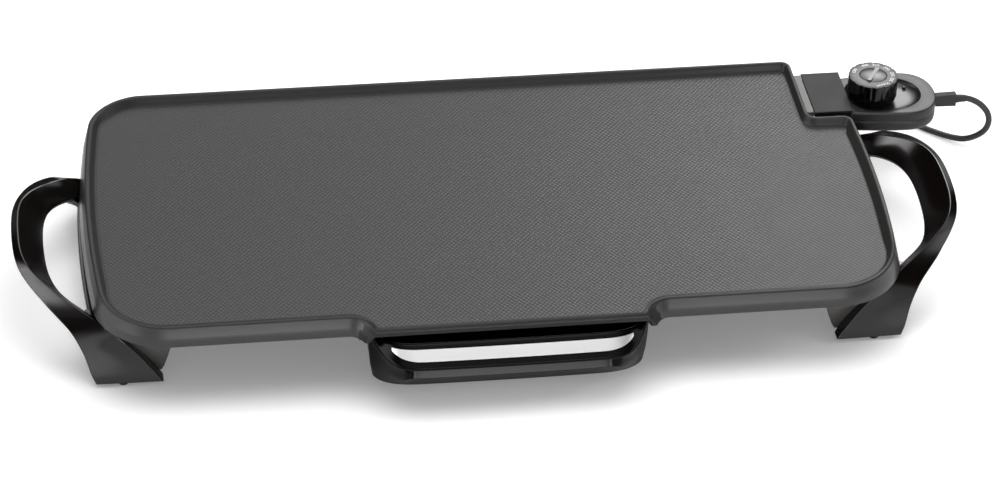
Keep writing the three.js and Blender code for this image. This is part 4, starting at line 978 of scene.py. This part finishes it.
FLUTES = 14
BAR_TURN = 58                       # degrees between the button's bar and the X axis
MARK_REACH = 14.2                   # from the dial's middle to the numbers
MARK_SIZE, WORD_SIZE = 3.8, 3.3     # height of the lettering, and of its one long word
MARK_THICKNESS = 0.2
MARKS = [("OFF", 149), ("400", 104), ("350", 71), ("300", 34), ("250", -2), ("200", -32), ("WARM", -72)]


def build_dial(settings):
    """The knob, with shallow flutes round its skirt and a sunk middle."""
    skirt = [(0, 66.4), (2.8, 66.4), (2.8, 57.1), (5.3, 57.1), (5.3, 70.4), (15.4, 70.4), (16.3, 57.2),
             (17.6, 57.2), (18.1, 57.5), (18.2, 58), (18.2, 62), (18.2, 68), (18.2, 72.7), (18.15, 73.1), (18.0, 73.45)]
    top = [(17.8, DIAL_FACE), (14, DIAL_FACE), (10.4, DIAL_FACE), (10.25, 73.3), (10.25, 72.2), (0, 72.2)]
    bm = bmesh.new()
    turned(bm, skirt + top, (DIAL_X, CONTROL_LINE), FLUTES * 12)
    middle = place(DIAL_X, CONTROL_LINE, 0)
    side_radius, side_foot = 0.017, 0.0571
    face_radius, face_foot = 0.0181, 0.0733
    for vert in bm.verts:
        out = (vert.co - middle).xy
        if out.length > side_radius and vert.co.z > side_foot:
            flute = settings.flute_depth * max(0.0, math.cos(math.atan2(out.y, out.x) * FLUTES)) ** 3
            vert.co.xy -= out / out.length * flute
    for face in bm.faces:
        at = face.calc_center_median() - middle
        if at.z > face_foot and at.xy.length < face_radius:
            face.material_index = 1
    side = gloss_plastic("Gloss dial skirt", settings.dial_side)
    face_finish = finish("Dial face", settings.dial_face, 0.42, metallic=0.2, scale=1500, shade=0.15, bump=0.00001,
                         worn_amount=0.2, worn=(0.25, 0.25, 0.25))
    piece("dial_knob", bm, "temperature_dial", [side, face_finish], ["temperature_dial"], sharp=35)


def build_dial_button():
    """The low dome in the knob's middle with a raised bar across it."""
    cap = [(0, 72.5), (10.2, 72.5), (10.2, 73.5), (10.0, 73.6), (9, 73.8), (7.5, 74.1), (5.5, 74.4), (3, 74.62),
           (1.2, 74.7), (0, 74.7)]
    bm = bmesh.new()
    turned(bm, cap, (DIAL_X, CONTROL_LINE), 72)
    half_length, half_width, radius = 10.0, 1.7, 1.2
    outline = []
    for across, along, first in ((1, 1, 0), (-1, 1, 90), (-1, -1, 180), (1, -1, 270)):
        for turn in range(5):
            a = math.radians(first + turn * 22.5)
            p = Vector((across * (half_length - radius) + radius * math.cos(a),
                        along * (half_width - radius) + radius * math.sin(a)))
            p.rotate(Matrix.Rotation(math.radians(BAR_TURN), 2))
            outline.append((DIAL_X + p.x, CONTROL_LINE + p.y))
    plate_of(bm, outline, "z", 73.0, 74.8)
    metal = finish("Dial metal", (0.065, 0.065, 0.065), 0.3, metallic=0.8, scale=1500, rough_amount=0.08,
                   bump=0.00001, worn_amount=0.0)
    piece("dial_button", bm, "temperature_dial", [metal], ["dial_cap"], sharp=35, bevel=0.0003)


def flat_text(words, size, centre, angle):
    """Generic lettering as a thin raised mesh, turned to read from outside the dial."""
    font = bpy.data.curves.new("lettering", "FONT")
    font.body = words
    font.size = size / 1000
    font.align_x = "CENTER"
    font.align_y = "CENTER"
    font.extrude = MARK_THICKNESS / 2000
    font.resolution_u = 3
    holder = show("lettering", font)
    bpy.context.view_layer.update()
    mesh = bpy.data.meshes.new_from_object(holder.evaluated_get(bpy.context.evaluated_depsgraph_get()))
    bpy.data.objects.remove(holder)
    bpy.data.curves.remove(font)
    mesh.transform(Matrix.Translation(place(*centre, DIAL_FACE)) @ Matrix.Rotation(angle, 4, "Z"))
    return mesh


def build_markings(settings):
    """The numbers on the dial's face."""
    bm = bmesh.new()
    for words, degrees in MARKS:
        angle = math.radians(degrees)
        centre = (DIAL_X + MARK_REACH * math.cos(angle), CONTROL_LINE + MARK_REACH * math.sin(angle))
        mesh = flat_text(words, MARK_SIZE if len(words) < 4 else WORD_SIZE, centre, angle - math.pi / 2)
        bm.from_mesh(mesh)
        bpy.data.meshes.remove(mesh)
    paint = finish("Lettering paint", settings.lettering, 0.5, scale=1800, shade=0.1, worn_amount=0.0)
    piece("dial_markings", bm, "temperature_dial", [paint], (), sharp=40)


def build_pilot():
    """The small domed lens over the lamp, in the recess beside the dial."""
    profile = [(0, 51.4), (1.3, 51.4), (1.3, 54.6), (1.1, 54.85), (0.6, 55.0), (0, 55.05)]
    bm = bmesh.new()
    turned(bm, profile, (DIAL_X + 27, CONTROL_LINE + 11), 24)
    lens = finish("Pilot lens", (0.006, 0.0015, 0.001), 0.2, coat=0.1, scale=900, shade=0.2, worn_amount=0.0)
    piece("pilot_window", bm, "heat_control", [lens], ["pilot_lens"], sharp=50)


# ------------------------------------------------------------------ cord

LEAVING = [(0, 0, 49), (5, 0.4, 48.8), (10.4, 0.8, 47.8), (19, 0.6, 43), (25.1, -0.4, 36), (27.3, -0.2, 28),
           (25.6, 1.5, 19), (19.9, 4.5, 12), (12.6, 9, 7), (5.8, 16.2, 4), (-1.7, 23.4, 2.9), (-12.6, 33.7, 2.6),
           (-25.2, 48, 2.6), (-46.2, 69, 2.6), (-76.2, 88, 2.6)]
ARRIVING = [(75, -5.5, 2.8), (42, -0.6, 3.9)]
TO_PLUG = [(6, -25.6, 9.8), (12, -26.9, 9.6), (18, -COIL_RADIUS, 8.2), (25, -COIL_RADIUS, 6.9),
           (30, -COIL_RADIUS, PLUG_HEIGHT)]
TURNS = (63.0, 990.0)               # the coil's first and last direction in degrees
SHIFT = (270.0, 423.0)              # over these directions each turn passes to its next slot


def cord_route():
    """Points in metres from the strain relief to the table, round the coil and into the plug."""
    points = [(RELIEF_END + x, CONTROL_LINE + y, z) for x, y, z in LEAVING]
    points += [(COIL[0] + x, COIL[1] + COIL_RADIUS + y, z) for x, y, z in ARRIVING]
    steps = 62
    for k in range(steps + 1):
        # low outside, then low inside, then high inside
        turn = lerp(*TURNS, k / steps)
        radius = lerp(30.6, 24.9, smoothstep(turn, lerp(*SHIFT, 0.2), SHIFT[1]))
        z = lerp(4.4, 9.8, smoothstep(turn, SHIFT[0] + 360, lerp(SHIFT[0] + 360, SHIFT[1] + 360, 0.8)))
        angle = math.radians(turn)
        points.append((COIL[0] + radius * math.cos(angle), COIL[1] + radius * math.sin(angle), z))
    points += [(COIL[0] + x, COIL[1] + y, z) for x, y, z in TO_PLUG]
    return [place(*p) for p in points]


def squared_rings(stations, y, z, steps, power):
    """Rings across the X axis for stations of (x, half width, half height)."""
    return [[place(x, y + u * wide, z + v * high) for u, v in squared(steps, power)] for x, wide, high in stations]


def build_plug():
    """A flattened plug body with a short sleeve where the cord enters."""
    start, end, y = 209.4, 239.4, COIL[1] - COIL_RADIUS
    stations = [(start, 6.5, 4.6), (start + 1, 7.6, 5.4), (start + 4, 8.6, 6.1), (start + 12, 9.2, 6.4),
                (start + 20, 8.8, 6.1), (start + 24, 9.5, 6.5), (end - 1, 9.5, 6.5), (end, 8.9, 6.0)]
    bm = bmesh.new()
    skin(bm, squared_rings(stations, y, PLUG_HEIGHT, 40, 0.5))
    tube(bm, [place(x, y, PLUG_HEIGHT) for x in (start - 6, start - 5, 207, start + 0.8)], 0.0033, 16)
    return piece("plug_body", bm, "heat_control", [black_rubber()], ["cord_plug"], sharp=40)


def build_tie():
    """The squared band round the coil."""
    x, y, z, half, thick = COIL[0] - COIL_RADIUS, COIL[1], 7.0, 5.6, 1.0
    bm = bmesh.new()
    rings = [[place(x + u * reach, y + along, z + v * reach) for u, v in squared(32, 0.35)]
             for reach, along in ((half + thick, -3), (half + thick, 3), (half, 3), (half, -3))]
    first = last = start_loop(bm, rings[0])
    for ring in rings[1:]:
        last = grow(bm, last, ring)
    edges = [bm.edges.get(pair) for loop in (first, last) for pair in zip(loop, loop[1:] + loop[:1])]
    bmesh.ops.bridge_loops(bm, edges=edges)
    return piece("cord_band", bm, "heat_control", [black_rubber()], ["cord_tie"], sharp=40)


def build_cord(settings):
    """The cord along its route, with its plug and the tie that keeps the coil."""
    route = spline(cord_route(), 4)
    bm = bmesh.new()
    tube(bm, route, settings.thickness / 2, 14)
    sheath = finish("Cord sheath", settings.sheath, 0.5, scale=700, shade=0.3, rough_amount=0.12, bump=0.00003,
                    worn_amount=0.4)
    cord = piece("lead_cord", bm, "heat_control", [sheath], ["power_cord", "cord_coil"], sharp=60)
    build_plug()
    build_tie()


def build_relief():
    """The sleeve that bends with the cord where it leaves the housing, and its squared root."""
    stations = [(350.8, 3.0, 4.4), (353, 3.2, 4.7), (366.6, 3.2, 5.0), (RELIEF_END, 3.0, 4.8)]
    bm = bmesh.new()
    skin(bm, squared_rings(stations, CONTROL_LINE, CORD_HEIGHT, 32, 0.25))
    route = spline(cord_route(), 4)[:7]
    rings = []
    for i, (point, along) in enumerate(zip(route, headings(route))):
        side = along.cross(UPWARDS).normalized()
        rings.append(section(point, side, side.cross(along), lerp(0.0032, 0.0026, i / (len(route) - 1)), 18))
    skin(bm, rings)
    piece("cord_sleeve", bm, "heat_control", [black_rubber()], ["strain_relief"], sharp=45,
          bevel=0.0002)


# ------------------------------------------------------------------ hardware that keeps its CAD shape

BRASS_NODES = ["contact_socket_front", "contact_socket_rear", "contact_blade", "plug_blade_a", "plug_blade_b"]


def build_hardware():
    """Gives every part that keeps its own mesh its finish."""
    dark = finish("Guide plastic", (0.03, 0.03, 0.029), 0.45, scale=1100, shade=0.2, worn_amount=0.4)
    ceramic = finish("Ceramic", (0.72, 0.68, 0.6), 0.55, scale=800, shade=0.08, worn_amount=0.0)
    steel = finish("Bright steel", (0.52, 0.52, 0.53), 0.3, metallic=1.0, scale=700, shade=0.1, worn_amount=0.15)
    brass = finish("Brass", (0.6, 0.42, 0.18), 0.32, metallic=1.0, scale=700, worn_amount=0.15)
    own = dict.fromkeys(BRASS_NODES, brass)
    own["heating_element"] = finish("Heater sheath", (0.09, 0.088, 0.085), 0.55, metallic=0.6, scale=500, shade=0.3,
                                    worn_amount=0.3)
    own["pilot_lamp"] = finish("Lamp glass", (0.25, 0.06, 0.02), 0.2, coat=0.5, scale=900, shade=0.2, worn_amount=0.0)
    for node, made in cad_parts.items():
        if made.hide_render:
            continue
        if "bushing" in node:
            dress(node, ceramic)
        elif node.startswith("tray_guide"):
            dress(node, dark)
        else:
            dress(node, own.get(node, steel))


# ------------------------------------------------------------------ stage

FILL_LEVEL = 0.42                   # even light, as matt surfaces get it
ROOM_LEVEL = 0.015                  # the dim room, as gloss shows it
WALL_LEVEL = 0.8                    # the low wall in front
WALL_TOP = (0.16, 0.24)             # rise of the directions between which the wall ends
WALL_SIDES = (0.72, 0.84)           # the same for its sides: how far a direction points ahead
SHADE_BLUR = (0.035, 0.06)          # softness of the shaded floor's edges, in metres
CAMERA_AT = (-282.7, -2110.3, 1478.1)
CAMERA_AHEAD = (0.11428, 0.81709, -0.56507)
CAMERA_ROLL = 1.18                  # degrees
FLOOR_IN_GLOSS = 0.25               # share of the floor's added light that gloss shows


def build_camera(settings):
    """A long lens from the front left, looking down, with a slight roll."""
    forward = Vector(CAMERA_AHEAD).normalized()
    level_right = forward.cross(UPWARDS).normalized()
    level_up = level_right.cross(forward)
    roll = math.radians(CAMERA_ROLL)
    right = level_right * math.cos(roll) + level_up * math.sin(roll)
    up = level_up * math.cos(roll) - level_right * math.sin(roll)
    lens = bpy.data.cameras.new("View")
    lens.lens = settings.lens
    lens.sensor_width = 36
    lens.clip_end = 30
    camera = show("View", lens)
    turned_to = Matrix((right, up, -forward)).transposed().to_4x4()
    camera.matrix_world = Matrix.Translation(place(*CAMERA_AT)) @ turned_to
    bpy.context.scene.camera = camera


def soft_lamp(name, target, away, size, radiance, in_gloss=False):
    """A softbox whose light fades towards its edges."""
    data = bpy.data.lights.new(name, "AREA")
    data.shape = "ELLIPSE"
    data.size, data.size_y = size
    data.energy = radiance * math.pi * size[0] * size[1] * math.pi / 4
    data.use_nodes = True
    tree = data.node_tree
    centred = add_node(tree, "VectorMath", {0: coordinates(tree, "UV"), 1: (0.5, 0.5, 0)}, operation="DISTANCE")
    fade = map_range(tree, centred.outputs["Value"], 0.12, 0.5, 1.7, 0.0, smooth=True)
    feed(tree, tree.nodes["Emission"].inputs["Strength"], fade)
    lamp = show(name, data)
    at = target + Vector(away)
    lamp.matrix_world = Matrix.Translation(at) @ (target - at).to_track_quat("-Z", "Y").to_matrix().to_4x4()
    lamp.visible_glossy = in_gloss


def step_between(tree, value, low, high):
    return map_range(tree, value, low, high, smooth=True)


def mirror_rays(tree, path):
    return math_node(tree, "ADD", path["Is Glossy Ray"], path["Is Transmission Ray"], clamp=True)


@once("node_groups")
def glow_group(name):
    """A soft-edged patch of light in one direction."""
    group, given, out = new_group(
        name,
        [("Direction", "NodeSocketVector", (0, 0, 1)), ("Patch", "NodeSocketVector", (0, 0, 1)),
         ("Inner", "NodeSocketFloat", 0.95), ("Outer", "NodeSocketFloat", 0.8), ("Level", "NodeSocketFloat", 1.0)],
        [("Level", "NodeSocketFloat")])
    given = given.outputs
    facing = add_node(group, "VectorMath", {0: given["Direction"], 1: given["Patch"]}, operation="DOT_PRODUCT")
    level_here = map_range(group, facing.outputs["Value"], given["Outer"], given["Inner"], 0.0, given["Level"],
                           smooth=True)
    feed(group, out.inputs["Level"], level_here)
    return group


# softboxes that gloss shows: turn from straight behind, height, core and rim angles in degrees, level
SOFTBOXES = [(-106, 24, 12, 37, 5.0), (96, 22, 9, 30, 1.9), (14, 42, 8, 30, 2.2), (-74, 27, 7, 17, 2.6),
             (174, 18, 4, 12, 12.0), (180, 10, 5, 26, 1.3), (172, 63, 8, 26, 1.05), (0, 80, 6, 24, 3.4)]


def build_world():
    """A dim room with a white low wall in front and soft patches of light, and even fill."""
    world = bpy.data.worlds.new("Studio")
    bpy.context.scene.world = world
    world.use_nodes = True
    tree = world.node_tree
    background = tree.nodes["Background"].inputs
    background["Color"].default_value = (1, 1, 1, 1)
    direction = coordinates(tree, "Generated")
    axes = split_axes(tree, direction)
    below = one_minus(tree, step_between(tree, axes["Z"], *WALL_TOP))
    ahead = step_between(tree, math_node(tree, "MULTIPLY", axes["Y"], -1.0), *WALL_SIDES)
    shown = map_range(tree, math_node(tree, "MULTIPLY", below, ahead), first=ROOM_LEVEL, second=WALL_LEVEL)
    for turn, height, core, rim, brightness in SOFTBOXES:
        turn, height = math.radians(turn), math.radians(height)
        patch = (math.sin(turn) * math.cos(height), math.cos(turn) * math.cos(height), math.sin(height))
        glow = add_node(tree, "Group", {
            "Direction": direction, "Patch": patch, "Inner": math.cos(math.radians(core)),
            "Outer": math.cos(math.radians(rim)), "Level": brightness}, node_tree=glow_group("Glow patch"))
        shown = math_node(tree, "ADD", shown, glow.outputs["Level"])
    path = add_node(tree, "LightPath", {}).outputs
    seen = map_range(tree, mirror_rays(tree, path), first=FILL_LEVEL, second=shown)
    feed(tree, background["Strength"], map_range(tree, path["Is Camera Ray"], first=seen, second=1.0))


def build_floor(settings):
    """A pale floor that whitens away from the object and keeps its shadow."""
    bm = bmesh.new()
    bmesh.ops.create_grid(bm, x_segments=1, y_segments=1, size=6)
    mesh = bpy.data.meshes.new("Floor")
    bm.to_mesh(mesh)
    bm.free()
    material, tree, sockets = new_material("Pale floor", {
        "Base Color": (*settings.floor, 1), "Roughness": 0.9, "Specular IOR Level": 0.1,
        "Emission Color": (1, 1, 1, 1)})
    axes = split_axes(tree, coordinates(tree, "Object"))
    centre = place(0, -20, 0)
    inside = []
    for axis, middle, half, blur in zip("XY", centre, settings.shade_reach, SHADE_BLUR):
        apart = math_node(tree, "ABSOLUTE", math_node(tree, "SUBTRACT", axes[axis], middle))
        inside.append(one_minus(tree, step_between(tree, apart, half - blur, half + blur)))
    away = one_minus(tree, math_node(tree, "MULTIPLY", *inside))
    path = add_node(tree, "LightPath", {}).outputs
    in_gloss = math_node(tree, "MULTIPLY", mirror_rays(tree, path), FLOOR_IN_GLOSS)
    seen = math_node(tree, "ADD", path["Is Camera Ray"], in_gloss, clamp=True)
    added = map_range(tree, away, first=settings.floor_lift, second=settings.far_lift)
    feed(tree, sockets["Emission Strength"], math_node(tree, "MULTIPLY", seen, added))
    mesh.materials.append(material)
    show("Floor", mesh)


# ------------------------------------------------------------------ operators

class GriddleOperator(bpy.types.Operator):
    """Shared by every step that builds a part of the griddle."""
    bl_options = {"REGISTER", "UNDO"}

    def execute(self, context):
        self.build(context.scene)
        return {"FINISHED"}


class GRIDDLE_OT_stage(GriddleOperator):
    """Sets up the camera, the floor and soft studio light"""
    bl_idname = "griddle.stage"
    bl_label = "Stage"

    def build(self, scene):
        settings = scene.griddle_stage
        scene.view_settings.view_transform = "Standard"
        build_camera(settings)
        build_world()
        build_floor(settings)
        middle = place(0, 0, 60)
        soft_lamp("Overhead softbox", middle, (0.0, -0.1, 1.6), (2.6, 2.0), 2.6)
        soft_lamp("Back softbox", middle, (0.52, 0.84, 0.58), (0.62, 0.5), 5.2, in_gloss=True)
        soft_lamp("Right softbox", middle, (1.7, -0.2, 0.9), (0.9, 0.8), 4)


class GRIDDLE_OT_cord(GriddleOperator):
    """Lays the cord from its strain relief to the coil behind the plate, with its plug and tie"""
    bl_idname = "griddle.cord"
    bl_label = "Cord"

    def build(self, scene):
        build_cord(scene.griddle_cord)
        build_relief()


class GRIDDLE_OT_plate(GriddleOperator):
    """Casts the griddle plate with its rim, spout and patterned cooking surface"""
    bl_idname = "griddle.plate"
    bl_label = "Plate"

    def build(self, scene):
        build_plate(scene.griddle_plate)


class GRIDDLE_OT_handles(GriddleOperator):
    """Moulds both handles with their legs and feet"""
    bl_idname = "griddle.handles"
    bl_label = "Handles"

    def build(self, scene):
        for side, sign in (("left", -1), ("right", 1)):
            build_handle(side, sign, scene.griddle_handle)
            build_foot(side, sign, "front", -1)
            build_foot(side, sign, "rear", 1)


class GRIDDLE_OT_tray(GriddleOperator):
    """Moulds the drip tray and lays the metal crescent on its front"""
    bl_idname = "griddle.tray"
    bl_label = "Drip tray"

    def build(self, scene):
        build_tray(scene.griddle_tray)
        build_badge(scene.griddle_tray)


class GRIDDLE_OT_control(GriddleOperator):
    """Builds the plug-in heat control, its dial and the terminal block on the plate"""
    bl_idname = "griddle.control"
    bl_label = "Heat control"

    def build(self, scene):
        settings = scene.griddle_control
        build_upper_housing(settings)
        build_lower_housing(settings)
        build_guard(settings)
        build_terminal_block()
        build_dial(settings)
        build_dial_button()
        build_markings(settings)
        build_pilot()


class GRIDDLE_OT_hardware(GriddleOperator):
    """Finishes the screws, brackets, terminals and other small parts"""
    bl_idname = "griddle.hardware"
    bl_label = "Hardware"

    def build(self, scene):
        build_hardware()


STEPS = [GRIDDLE_OT_stage, GRIDDLE_OT_cord, GRIDDLE_OT_plate, GRIDDLE_OT_handles, GRIDDLE_OT_tray,
         GRIDDLE_OT_control, GRIDDLE_OT_hardware]
SETTINGS = {
    "griddle_stage": GriddleStageSettings,
    "griddle_cord": GriddleCordSettings,
    "griddle_plate": GriddlePlateSettings,
    "griddle_handle": GriddleHandleSettings,
    "griddle_tray": GriddleTraySettings,
    "griddle_control": GriddleControlSettings,
}


class GRIDDLE_PT_panel(bpy.types.Panel):
    """Lists the griddle's steps and their settings"""
    bl_idname = "GRIDDLE_PT_panel"
    bl_label = "Electric griddle"
    bl_space_type = "VIEW_3D"
    bl_region_type = "UI"
    bl_category = "Griddle"

    def draw(self, context):
        for step in STEPS:
            self.layout.operator(step.bl_idname)
        for name, group in SETTINGS.items():
            box = self.layout.box()
            for setting in group.__annotations__:
                box.prop(getattr(context.scene, name), setting)


def register():
    for name, group in SETTINGS.items():
        bpy.utils.register_class(group)
        setattr(bpy.types.Scene, name, bpy.props.PointerProperty(type=group))
    for step in [*STEPS, GRIDDLE_PT_panel]:
        bpy.utils.register_class(step)


def unregister():
    for step in reversed([*STEPS, GRIDDLE_PT_panel]):
        bpy.utils.unregister_class(step)
    for name, group in SETTINGS.items():
        delattr(bpy.types.Scene, name)
        bpy.utils.unregister_class(group)


def main():
    register()
    for step in STEPS:
        getattr(bpy.ops.griddle, step.bl_idname.split(".")[1])()


if __name__ == "__main__":
    main()
